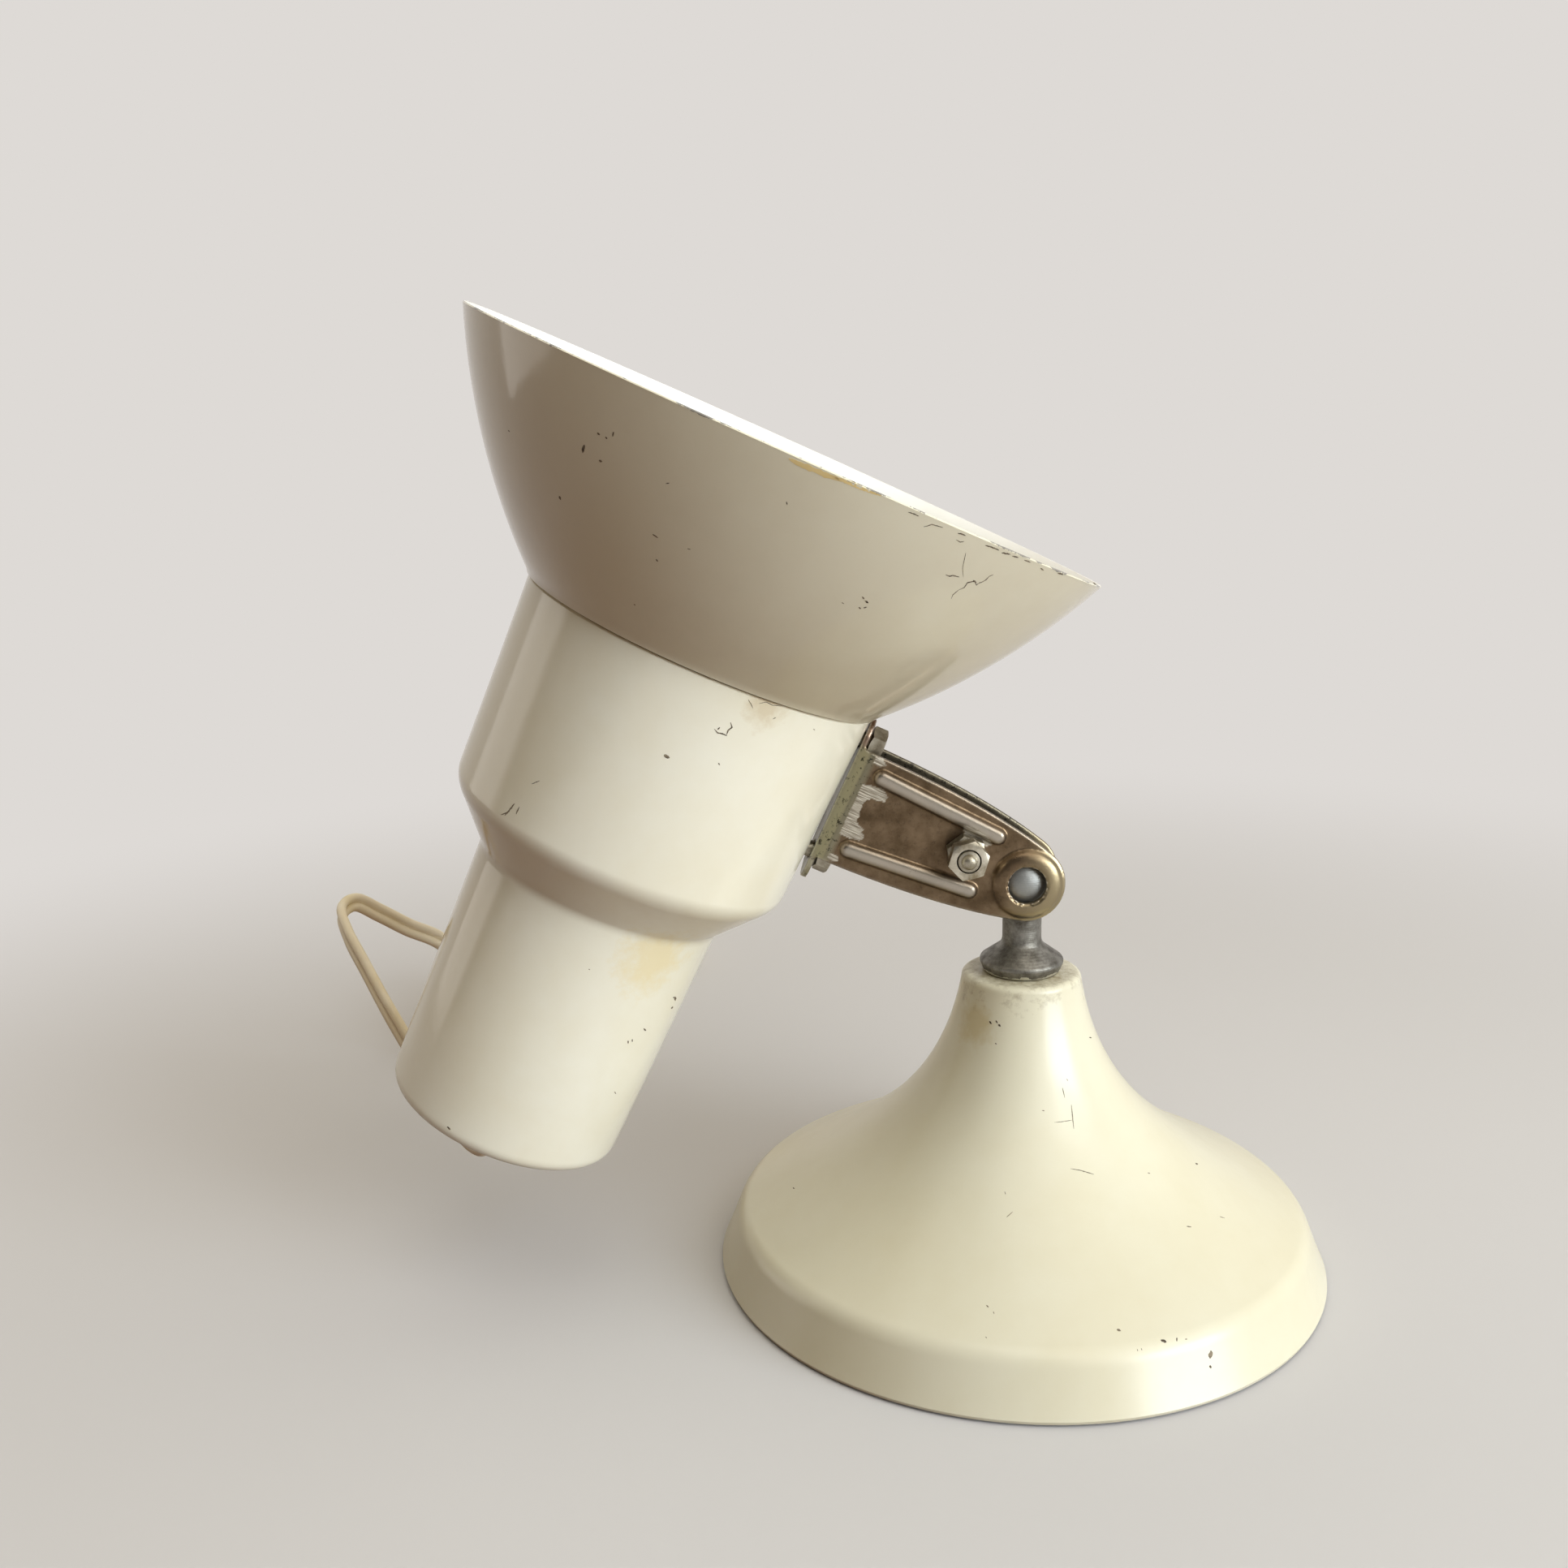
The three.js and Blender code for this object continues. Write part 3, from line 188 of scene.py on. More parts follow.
def smooth_route(points, step):
    """Points every step mm on a smooth curve through the given ones."""
    points = [Vector(p) for p in points]
    line = []
    ends = [points[0] * 2 - points[1], *points, points[-1] * 2 - points[-2]]
    for before, a, b, after in zip(ends, ends[1:], ends[2:], ends[3:]):
        count = max(2, ceil((b - a).length / step))
        u, v, w = [max((q - p).length, 1e-6) ** 0.5 for p, q in ((before, a), (a, b), (b, after))]
        lead_in = ((a - before) / u - (b - before) / (u + v) + (b - a) / v) * v
        lead_out = ((b - a) / v - (after - a) / (v + w) + (after - b) / w) * v
        line += interpolate_bezier(a, a + lead_in / 3, b - lead_out / 3, b, count + 1)[:-1]
    return line + [points[-1]]


def flex_tube(line):
    """The twin section drawn along a line, its wide side as upright as can be."""
    mesh = bmesh.new()
    rings = []
    for i, middle in enumerate(line):
        ahead = (line[min(i + 1, len(line) - 1)] - line[max(i - 1, 0)]).normalized()
        wide = Vector((0, 0, 1))
        wide = (wide - ahead * wide.dot(ahead)).normalized()
        thick = ahead.cross(wide)
        rings.append([mesh.verts.new((middle + wide * x + thick * y) / 1000) for x, y in twin_section])
    for one, two in zip(rings, rings[1:]):
        for i in range(len(one)):
            j = (i + 1) % len(one)
            mesh.faces.new((one[i], one[j], two[j], two[i]))
    mesh.faces.new(reversed(rings[0]))
    mesh.faces.new(rings[-1])
    return outward(mesh)


lead_route = [
    (-121.7, 0, 34.9), (-123.4, 0, 31.2), (-126.2, 2.6, 27.4), (-130.2, 7.2, 26.6),
    (-135, 11.4, 30.8), (-140, 15.4, 37.6), (-146, 20, 45.6), (-152.5, 25, 54.8),
    (-158.4, 31, 62.6), (-163.6, 37, 69), (-166.6, 43.6, 73), (-165, 50.6, 73.4),
    (-160.6, 57, 68.4), (-154.6, 62.6, 62.4), (-148.2, 68.2, 57), (-145.2, 74.2, 49.6),
    (-145, 81, 37.6), (-147.4, 88, 25.2), (-151, 96, 14.6), (-153.8, 104, 9.3),
    (-155, 109.6, 8), (-155, 114.4, 8),
]
lead_line = smooth_route(lead_route, 1)
lead = place(flex_tube(lead_line), "flex_lead", None, "cream_flex", cream_pvc, instead_of=["cord_lead"])
coil_turns, coil_reverse, coil_climb, coil_inner, coil_pitch, coil_layer = 26 / 3, 4.33, 0.25, 20, 3, 5.4
coil_low, coil_end, coil_steps = 2.7, 4.8, 48
coil_middle = Vector((-122, 210, 0))


def coil_point(turn_count):
    """A place on the coil, which spirals in, climbs a layer and spirals out again."""
    share = min(max((turn_count - coil_reverse + coil_climb) / (2 * coil_climb), 0), 1)
    reach = coil_inner + abs(turn_count - coil_reverse) * coil_pitch
    angle = pi - turn_count * 2 * pi
    climb = coil_low + coil_layer * share * share * (3 - 2 * share)
    return coil_middle + Vector((reach * cos(angle), reach * sin(angle), climb))


coil_line = [coil_point(i / coil_steps) for i in range(round(coil_turns * coil_steps) + 1)]
run_out = Vector((-sin(pi / 3), -cos(pi / 3), 0)) * coil_end
switch_tail = [(-155, 182.6, 8), (-155, 185, 8), (-155, 189.9, 7.3), (-155, 194.9, 5.3), (-155, 199.9, 3.3),
               coil_line[0] - Vector((0, coil_end, 0))]
plug_tail = [coil_line[-1] + run_out, coil_line[-1] + run_out * 2, (-118.6, 173.9, 7.8), (-121.8, 169.8, 7.5),
             (-123.8, 164.9, 7.2), (-124.4, 159.8, 7), (-124.4, 155.3, 7)]
supply_line = smooth_route(switch_tail, 1.5) + coil_line + smooth_route(plug_tail, 1.5)
supply = place(flex_tube(supply_line), "flex_supply", "stud", "cream_flex", cream_pvc,
               instead_of=["cord_switch_tail", "cord_coil", "cord_plug_tail"])

# Switch: two moulded shells of cream plastic screwed together round the flex, with a rocker of
# brown phenolic. It lies on the table behind the spot, on the way to the coil.
switch_middle, switch_half, switch_gap = (-155, 148.5), (11.5, 29), 0.15
switch_low, switch_part, switch_top = 0.2, 8, 16.2
corner_round, face_round, lip_round = 7.4, 2.2, 0.25


def at_mm(x, y, z):
    """The matrix that moves a shape by so many mm."""
    return Matrix.Translation(Vector((x, y, z)) / 1000)


def moved(mesh, where):
    """Moves a shape by a matrix."""
    bmesh.ops.transform(mesh, matrix=where, verts=mesh.verts)
    return mesh


def box_mesh(low, high):
    """A box between two corners in mm."""
    mesh = bmesh.new()
    bmesh.ops.create_cube(mesh, size=1)
    low, high = Vector(low), Vector(high)
    bmesh.ops.scale(mesh, vec=(high - low) / 1000, verts=mesh.verts)
    return moved(mesh, at_mm(*((high + low) / 2)))


def soften(mesh, edges, width, segments):
    """Rounds edges to a width in mm."""
    bmesh.ops.bevel(mesh, geom=edges, offset=width / 1000, offset_type="OFFSET", affect="EDGES",
                    segments=segments, profile=0.5, material=-1, clamp_overlap=True)


def turned(profile, steps):
    """A shape spun from radii and heights in mm; it is a ring unless an end is on the axis."""
    mesh = bmesh.new()
    points = [mesh.verts.new((r / 1000, 0, z / 1000)) for r, z in profile]
    edges = [mesh.edges.new(pair) for pair in zip(points, points[1:])]
    if profile[0][0] and profile[-1][0]:
        edges.append(mesh.edges.new((points[-1], points[0])))
    bmesh.ops.spin(mesh, geom=points + edges, cent=(0, 0, 0), axis=(0, 0, 1), angle=2 * pi,
                   steps=steps, use_merge=True)
    bmesh.ops.remove_doubles(mesh, verts=mesh.verts, dist=1e-6)
    return outward(mesh)


def copied(node):
    """A merged copy of a plain solid's mesh."""
    mesh = bmesh.new()
    mesh.from_mesh(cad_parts[node].data)
    bmesh.ops.remove_doubles(mesh, verts=mesh.verts, dist=1e-6)
    return mesh


def join(mesh, other):
    """Adds a second shape to a mesh."""
    data = as_data("joined", other)
    mesh.from_mesh(data)
    bpy.data.meshes.remove(data)


def settle(piece):
    """Makes a piece's modifiers final."""
    bpy.context.view_layer.update()
    result = bpy.data.meshes.new_from_object(piece.evaluated_get(bpy.context.evaluated_depsgraph_get()))
    piece.modifiers.clear()
    piece.data = result
    return result


def cut(piece, tool):
    """Cuts a tool out of a piece and drops the tool."""
    knife = piece.modifiers.new("cut", "BOOLEAN")
    knife.operation, knife.object, knife.solver = "DIFFERENCE", tool, "EXACT"
    result = settle(piece)
    bpy.data.objects.remove(tool)
    result.shade_smooth()
    result.set_sharp_from_angle(angle=sharp_from)


def switch_shell(low, high, outer_face):
    """One shell, with wide round corners and a small round on its outer edge."""
    (x, y), (wide, long) = switch_middle, switch_half
    mesh = box_mesh((x - wide, y - long, low), (x + wide, y + long, high))
    upright = [e for e in mesh.edges if abs(e.verts[0].co.z - e.verts[1].co.z) > 1e-5]
    soften(mesh, upright, corner_round, 8)
    for level, width, segments in ((outer_face, face_round, 5), (low + high - outer_face, lip_round, 1)):
        soften(mesh, [e for e in mesh.edges if all(abs(v.co.z * 1000 - level) < 1e-3 for v in e.verts)],
               width, segments)
    return mesh


# Moulded cream plastic: smooth, half gloss, faintly wavy where it has shrunk.
cream_moulding = clouded("moulded_urea", {"Roughness": 0.34, "IOR": 1.52}, "#e6dcba", "#d6c89f", 140,
                         bump=(0.12, 0.0006))
lower_shell = switch_shell(switch_low, switch_part - switch_gap, switch_low)
upper_shell = switch_shell(switch_part + switch_gap, switch_top, switch_top)
screw_from_middle = 19
for end in (-1, 1):
    sleeve = turned([(2.6, 28), (4, 28), (4, 32.6), (3.6, 33.6), (2.6, 33.6)], 32)
    join(lower_shell, moved(sleeve, at_mm(*switch_middle, 8) @ Matrix.Rotation(-end * pi / 2, 4, "X")))
    screw_seat = turned([(0, switch_top - 0.05), (1.6, switch_top - 0.05), (1.9, switch_top), (0, switch_top)], 24)
    join(upper_shell, moved(screw_seat, at_mm(switch_middle[0], switch_middle[1] + end * screw_from_middle, 0)))
place(lower_shell, "switch_lower_shell", "stud", "cream_plastic", cream_moulding, instead_of=["switch_base"])
pocket = moved(box_mesh((-5.1, -8.1, 10.5), (5.1, 8.1, 20)), at_mm(*switch_middle, 0))
pocket_tool = place(pocket, "pocket_tool", "stud", "cream_plastic", cream_moulding)
cover = place(upper_shell, "switch_upper_shell", "stud", "cream_plastic", cream_moulding,
              instead_of=["switch_cover"])
cut(cover, pocket_tool)

# Moulded phenolic: dark brown, glossy, with a cloudy depth.
brown_phenolic = clouded("phenolic_moulding", {"Roughness": 0.3, "IOR": 1.6}, "#2a1912", "#4a2f20", 160, 4)
rocker = copied("switch_rocker")
bmesh.ops.dissolve_limit(rocker, angle_limit=radians(2), verts=rocker.verts, edges=rocker.edges)
soften(rocker, [e for e in rocker.edges if e.calc_face_angle(0) > radians(50)], 0.35, 3)
place(rocker, "rocker_key", "rocker", "brown_phenolic", brown_phenolic, instead_of=["switch_rocker"])

# Plug: cream moulding round two brass pins, with a ribbed sleeve where the flex goes in.
# It lies in front of the coil with its pins to the lamp.
plug_x, plug_y, plug_z, plug_low, plug_thick = -124.4, 155, 7, 0.2, 13.6
plug_outline = [(-6.5, 12), (6.5, 12), (12.8, 29), (12.8, 46), (-12.8, 46), (-12.8, 29)]
plug_mesh = bmesh.new()
plug_face = plug_mesh.faces.new([plug_mesh.verts.new(Vector((plug_x - x, plug_y - y, plug_low)) / 1000)
                                 for x, y in plug_outline])
raised = bmesh.ops.extrude_face_region(plug_mesh, geom=[plug_face])["geom"]
bmesh.ops.translate(plug_mesh, vec=(0, 0, plug_thick / 1000),
                    verts=[v for v in raised if isinstance(v, bmesh.types.BMVert)])
outward(plug_mesh)
soften(plug_mesh, list(plug_mesh.edges), 2.2, 5)
sleeve_line = [(2.5, 0), (3.3, 0)]
for rib in range(4):
    start, swell = 1 + rib * 2.4, rib * 0.15
    sleeve_line += [(3.45 + swell, start), (3.45 + swell, start + 1.4), (3 + swell, start + 1.7),
                    (3 + swell, start + 2.1)]
sleeve_line += [(4.2, 11), (4.2, 13), (2.5, 13)]
towards_lamp = Matrix.Rotation(pi / 2, 4, "X")
join(plug_mesh, moved(turned(sleeve_line, 40), at_mm(plug_x, plug_y, plug_z) @ towards_lamp))
place(plug_mesh, "plug_moulding", "stud", "cream_plastic", cream_moulding, instead_of=["plug_body"])

# Drawn brass: yellow, satin, browned a little.
pin_brass = clouded("drawn_brass", {"Roughness": 0.32, "Metallic": 1.0}, "#c8a862", "#8f7440", 300, 3)
pin_from_middle = 9.3
for number, side in ((1, -1), (2, 1)):
    pin = turned([(0, 40.4), (2, 40.4), (2, 63.6), (1.7, 64.5), (1, 64.95), (0, 65)], 32)
    place(moved(pin, at_mm(plug_x - side * pin_from_middle, plug_y, plug_z) @ towards_lamp),
          f"round_pin_{number}", "stud", "contact_brass", pin_brass, instead_of=[f"plug_pin_{number}"])
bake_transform(lead)

# Table and light: a plain pale table that fades into a pale room. What only gathers light finds both dim and
# warm. Soft lamps stand all round, the strongest at the right; the left window is only mirrored.
table_mesh = bmesh.new()
bmesh.ops.create_grid(table_mesh, x_segments=1, y_segments=1, size=4)
table_data = as_data("table", table_mesh)
table = bpy.data.objects.new("table", table_data)
link(table)
room_colour = linear("#dedad6")
fade_from, fade_to = 0.2, 0.55
wall_light, ceiling_light = 0.58, 0.5


def maths(operation, *values):
    """The result of a sum whose first value is a node's output."""
    return add(values[0].id_data, "Math", dict(enumerate(values)), operation=operation).outputs[0]


def plainly_seen(tree):
    """Whether a ray looks straight or through glass, and whether by a mirror."""
    ray = add(tree, "LightPath", {}).outputs
    return maths("MAXIMUM", ray["Is Camera Ray"], ray["Is Transmission Ray"]), ray["Is Glossy Ray"]


table_finish, shader, here = new_finish("pale_table", {"Roughness": 0.75})
tree = table_finish.node_tree
seen_or_mirrored = maths("MAXIMUM", *plainly_seen(tree))
wire(shader, mixed(seen_or_mirrored, "#6e4a20", "#cfcfd2"))
away = add(tree, "VectorMath", {0: here}, operation="LENGTH").outputs["Value"]
fade = ramp(away, fade_from, fade_to, interpolation_type="SMOOTHSTEP")
room_glow = add(tree, "Emission", {"Color": room_colour})
table_look = add(tree, "MixShader", {0: maths("MULTIPLY", fade, seen_or_mirrored), 1: shader.outputs[0],
                                     2: room_glow.outputs[0]})
tree.links.new(table_look.outputs[0], tree.nodes["Material Output"].inputs["Surface"])
table_data.materials.append(table_finish)
sky = bpy.data.worlds.new("sky")
scene.world = sky
sky.use_nodes = True
tree = sky.node_tree
for node in list(tree.nodes):
    tree.nodes.remove(node)
straight, mirrored = plainly_seen(tree)
towards = add(tree, "SeparateXYZ", {"Vector": add(tree, "TexCoord", {}).outputs["Generated"]}).outputs
wall = ramp(towards["Y"], -0.02, 0.02, end=wall_light)
above = ramp(towards["Z"], 0.5, 0.8, end=ceiling_light)
mirrored_wall = maths("MULTIPLY", maths("GREATER_THAN", towards["Y"], 0), mirrored)
dim_sky = add(tree, "Background", {"Color": linear("#fbebcf"), "Strength": maths("MAXIMUM", wall, above)})
seen_sky = add(tree, "Background", {"Color": room_colour, "Strength": 1.0})
both = add(tree, "MixShader", {0: maths("MAXIMUM", straight, mirrored_wall), 1: dim_sky.outputs[0],
                               2: seen_sky.outputs[0]})
add(tree, "OutputWorld", {"Surface": both.outputs[0]})
for name, where, width, height, power, tint in (
    ("window", (1.15, -0.75, 0.75), 0.9, 1.1, 7.5, (0.88, 0.95, 1)),
    ("window_sill", (1.1, -0.9, 0.35), 0.9, 0.7, 16, (0.9, 0.97, 1)),
    ("room_front", (0.7, -1.2, 0.8), 0.9, 1.1, 5.5, (1, 0.97, 0.9)),
    ("window_left", (-1.5, 0.42, 0.4), 0.75, 1.3, 3.2, (1, 0.97, 0.92)),
    ("ceiling_behind", (-0.7, 0.5, 1.3), 1.2, 1.2, 2.5, (1, 0.97, 0.9)),
    ("ceiling", (0.3, -0.6, 1.5), 1.6, 1.2, 7, (1, 0.97, 0.9)),
):
    light = bpy.data.lights.new(name, "AREA")
    light.color = tint
    light.shape, light.size, light.size_y, light.energy = "RECTANGLE", width, height, power
    lamp = bpy.data.objects.new(name, light)
    lamp.location = where
    lamp.visible_diffuse = name != "window_left"
    lamp.rotation_euler = (Vector((-0.03, 0, 0.1)) - Vector(where)).to_track_quat("-Z", "Y").to_euler()
    link(lamp)

# Foot: a trumpet spun from one steel disc and stove enamelled in ivory, with a rolled shoulder and a
# flared ring. It stands on a felt glued under a cast ballast.
foot_radius, foot_height, foot_sheet, foot_lift = 70, 70, 1.2, 0.5
foot_top_radius, foot_top_round, shoulder_radius, shoulder_height = 13.6, 1.8, 65.3, 13
rod_hole = 3.3


def bend(a, b, c, steps):
    """Points of a curve from a to c that is drawn towards b."""
    a, b, c = (Vector((*p, 0)) for p in (a, b, c))
    line = interpolate_bezier(a, a + (b - a) * 2 / 3, c + (b - c) * 2 / 3, c, steps + 1)
    return [(p.x, p.y) for p in line]


def walled(outside, sheet):
    """The line that lies one sheet's thickness inside another."""
    within = []
    for i, point in enumerate(outside):
        before, after = outside[max(i - 1, 0)], outside[min(i + 1, len(outside) - 1)]
        run, rise = after[0] - before[0], after[1] - before[1]
        length = hypot(run, rise)
        within.append((point[0] - rise / length * sheet, point[1] + run / length * sheet))
    return within


ring_in = (shoulder_radius + 1.0, shoulder_height - 2.6)
flare_in = (shoulder_radius - 2.3, shoulder_height + 1.05)
flare_out = (foot_top_radius, foot_height - foot_top_round)
flare = interpolate_bezier(*[Vector((*p, 0)) for p in (flare_in, (41.2, 25.85), (19, 36.94), flare_out)], 60)
foot_line = [(foot_radius - 0.9, foot_lift), (foot_radius - 0.2, foot_lift + 0.15), (foot_radius, foot_lift + 0.8),
             (foot_radius - 1.2, 4)]
foot_line += bend(ring_in, (shoulder_radius, shoulder_height + 0.05), flare_in, 10)
foot_line += [(p.x, p.y) for p in flare[1:]]
foot_line += bend(flare_out, (foot_top_radius, foot_height), (foot_top_radius - foot_top_round, foot_height), 8)[1:]
foot_line += [(rod_hole, foot_height)]
foot_inside = walled(foot_line, foot_sheet)
foot_inside[-1] = (rod_hole, foot_height - foot_sheet)


def enamel(name, light_colour, aged_colour, gloss, stains=()):
    """Ivory stove enamel: glossy, wavy like orange peel, unevenly yellowed and stained."""
    finish, shader, here = new_finish(name, {"IOR": 1.46})
    aged = ramp(noise(here, 26, 5, 0.6), 0.38, 0.72)
    colour = mixed(aged, light_colour, aged_colour)
    blotches = noise(here, 320, 6, 0.7)
    for where, reach, most, tint in stains:
        away = add(here.id_data, "VectorMath", {0: here, 1: where}, operation="DISTANCE").outputs["Value"]
        ragged = maths("MULTIPLY_ADD", blotches, 1.6 * reach, away)
        colour = mixed(ramp(ragged, 1.75 * reach, 1.1 * reach, end=most), colour, tint)
    wire(shader, colour, bumpy(noise(here, 420, 1), 0.05, 0.0004),
         ramp(noise(here, 60, 6, 0.7), 0, 1, gloss - 0.03, gloss + 0.05))
    return finish


# One ivory enamel in three tones set to how much light each part gets: the head's lightest, the shade's and the
# foot's darker. This is partly the paint's own tone and partly painted light and shade.
foot_enamel = enamel("ivory_stove_enamel_foot", "#dcd8c3", "#d7d1b8", 0.24, [
    ((-0.0115, -0.0095, 0.061), 0.0062, 0.6, "#c9b888"), ((0, 0, 0.0703), 0.0145, 0.9, "#7f6c4c"),
])
foot = place(turned(foot_line + foot_inside[3:][::-1], 220), "foot_trumpet", "base", "cream_enamel",
             foot_enamel, instead_of=["base_shell"])

# Under the foot: pressed green felt, a raw sand-cast ballast, and the plated rod, washer and nut
# that pull the ball stud down on the foot.
felt = clouded("pressed_felt", {"Roughness": 1.0, "Sheen Weight": 0.4}, "#2f3a2c", "#4c5846", 1400, 4,
               bump=(0.5, 0.0004))
sand_cast = clouded("sand_cast_iron", {"Roughness": 0.8, "Metallic": 0.7}, "#3c3a38", "#5c5752", 700, 5,
                    bump=(0.6, 0.0005))


def plated(name, clean_colour, dull_colour, roughness, metallic=0.9):
    """Plated steel that has tarnished in clouds, with fine scuffs."""
    finish, shader, here = new_finish(name, {"Metallic": metallic})
    dull = noise(here, 260, 6, 0.65)
    colour = mixed(ramp(dull, 0.4, 0.65), clean_colour, dull_colour)
    wire(shader, colour, bumpy(noise(here, 1300), 0.12, 0.0002),
         ramp(dull, 0, 1, roughness - 0.08, roughness + 0.14))
    return finish


def dress(finish, *nodes):
    """Gives a finish to nodes that keep their own shape."""
    for node in nodes:
        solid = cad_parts[node]
        solid.data.materials.clear()
        solid.data.materials.append(finish)


screw_steel = plated("tarnished_plated_steel", "#b9b2a2", "#7d7361", 0.36)
dress(felt, "base_felt")
dress(sand_cast, "base_ballast")
dress(screw_steel, "tie_rod", "tie_rod_washer", "tie_rod_nut")

# Ball stud: turned from die-cast zinc, grey, with the tool's rings left on its cone. The ball is
# gripped between the cheeks of the yoke, and the cone sits on the flat top of the foot.
ball_height, ball_radius, stem_radius, stud_seat = 92, 6.9, 4.4, 70.3
polish_and_highlight_from, polish_and_highlight_to = ball_height - 6, ball_height - 4
cone_line = [(0, 11), (rod_hole, 11), (rod_hole, 0), (8.45, 0), (8.7, 0.2)]
cone_line += bend((9.38, 1.8), (9.6, 2.5), (9.1, 2.95), 6)
cone_line += bend((5.3, 5.75), (stem_radius, 6.4), (stem_radius, 7.9), 6)
stud_line = [(r, stud_seat + z) for r, z in cone_line]
neck_angle = atan2(-sqrt(ball_radius ** 2 - stem_radius ** 2), stem_radius)
stud_line += [(stem_radius, ball_height + ball_radius * sin(neck_angle) - 0.5)]
arc = [neck_angle + 0.06 + (pi / 2 - neck_angle - 0.06) * i / 28 for i in range(28)]
stud_line += [(ball_radius * cos(a), ball_height + ball_radius * sin(a)) for a in arc]
stud_line += [(0, ball_height + ball_radius)]
zinc, shader, here = new_finish("turned_die_cast_zinc", {"Metallic": 0.85})
tree = zinc.node_tree
oxide = noise(here, 330, 6, 0.7)
stud_level = add(tree, "SeparateXYZ", {"Vector": here}).outputs["Z"]
fleck_top = ramp(noise(here, 420), 0.35, 0.65, stud_seat / 1000 + 0.0001, stud_seat / 1000 + 0.0009)
zinc_colour = mixed(ramp(oxide, 0.35, 0.7), "#928f88", "#514c44")
flecked_zinc = mixed(maths("LESS_THAN", stud_level, fleck_top), zinc_colour, "#d5d2c6")
# The top of the ball is lighter: partly polish from the cups, partly a painted highlight.
ball_polish_and_highlight = ramp(stud_level, polish_and_highlight_from / 1000, polish_and_highlight_to / 1000, end=0.75)
tool_rings = add(tree, "TexWave", {"Vector": here, "Scale": 620.0, "Distortion": 2.5, "Detail": 3.0},
                 bands_direction="Z").outputs["Fac"]
wire(shader, mixed(ball_polish_and_highlight, flecked_zinc, "#9fa1a0"),
     bumpy(oxide, 0.3, 0.0003, Normal=bumpy(tool_rings, 0.1, 0.0002)),
     ramp(oxide, 0, 1, 0.35, 0.62))
place(turned(stud_line, 96), "stud_turning", "stud", "cast_zinc", zinc, instead_of=["ball_stud"])

# Spot housing: one spun steel shell, a wide body that slopes in to a long neck, in ivory enamel.
# Its axis leans over the ball; sizes count along that axis from the ball's height.
lean, reach = radians(24.75), 86.6
head_frame = at_mm(0, 0, ball_height) @ Matrix.Rotation(lean, 4, "Y")
spot_frame = head_frame @ at_mm(-reach, 0, 0)
body_top_radius, body_top, body_bottom_radius = 40.15, 19.9, 38.9
neck_top_radius, neck_top, neck_end_radius, neck_end, housing_sheet, tube_hole = 28.4, -39.4, 27, -99, 1.1, 5.3
housing_line = [(tube_hole, neck_end), (23, neck_end)]
housing_line += bend((23.6, neck_end), (neck_end_radius, neck_end), (neck_end_radius + 0.05, neck_end + 3.4), 8)
housing_line += [(27.7, -70)]
housing_line += bend((neck_top_radius - 0.02, neck_top - 0.8), (neck_top_radius + 0.1, neck_top + 0.9),
                     (29.4, -37.6), 5)
housing_line += bend((36.2, -29.6), (38.75, -27.1), (body_bottom_radius - 0.04, -24.3), 12)
housing_line += [(39.5, 0), (body_top_radius, body_top - 0.4), (body_top_radius - 0.3, body_top)]
housing_inside = walled(housing_line, housing_sheet)
housing_inside[0] = (tube_hole, neck_end + housing_sheet)
housing_inside[-1] = (body_top_radius - housing_sheet, body_top)
# The head's tone of the enamel is the lightest: partly painted light.
head_enamel = enamel("ivory_stove_enamel_head", "#efedde", "#e9e4cf", 0.11, [
    ((-0.0816, -0.0229, 0.0819), 0.011, 0.55, "#e6d39c"), ((-0.0561, -0.0368, 0.1387), 0.006, 0.5, "#c9b48c"),
])


def spun(line, steps, name, slot, finish, node):
    """A piece turned on the spot's axis."""
    return place(moved(turned(line, steps), spot_frame), name, "head", slot, finish, instead_of=[node])


housing = spun(housing_line + housing_inside[::-1], 220, "housing_spinning", "cream_enamel", head_enamel, "housing")

# Shade: a spun bowl with a thin cut rim, whose sleeve is pushed into the housing. Outside it has the
# lamp's ivory enamel, worn through at the rim, inside a brighter white one that throws the light out.
shade_foot, shade_middle, shade_rim, shade_sheet = (41.4, 21.0), (58.5, 41.3), (72.4, 66), 1.0
bowl_points = [shade_foot, shade_middle, shade_rim]
bowl_turns = list(zip(bowl_points, bowl_points[1:] + bowl_points[:1], bowl_points[2:] + bowl_points[:2]))
spread = 2 * sum(p[0] * (q[1] - r[1]) for p, q, r in bowl_turns)
bowl_x = sum((p[0] ** 2 + p[1] ** 2) * (q[1] - r[1]) for p, q, r in bowl_turns) / spread
bowl_z = sum((p[0] ** 2 + p[1] ** 2) * (r[0] - q[0]) for p, q, r in bowl_turns) / spread
bowl_radius = hypot(shade_foot[0] - bowl_x, shade_foot[1] - bowl_z)
bowl_from, bowl_to = (atan2(p[1] - bowl_z, p[0] - bowl_x) for p in (shade_foot, shade_rim))
bowl_outside, bowl_inside = ([
    (bowl_x + radius * cos(a), bowl_z + radius * sin(a))
    for a in [bowl_from + (bowl_to - bowl_from) * i / 40 for i in range(41)]
] for radius in (bowl_radius, bowl_radius - shade_sheet))
sleeve_outer, sleeve_inner, sleeve_low, sleeve_high = 38.3, 37.3, 6.2, 20.2
shade_profile = bowl_outside[:-1] + [(shade_rim[0] - 0.1, shade_rim[1] - 0.25), (shade_rim[0] - 0.35, shade_rim[1]),
                                     (shade_rim[0] - 0.8, shade_rim[1] - 0.05)] + bowl_inside[1:-1][::-1]
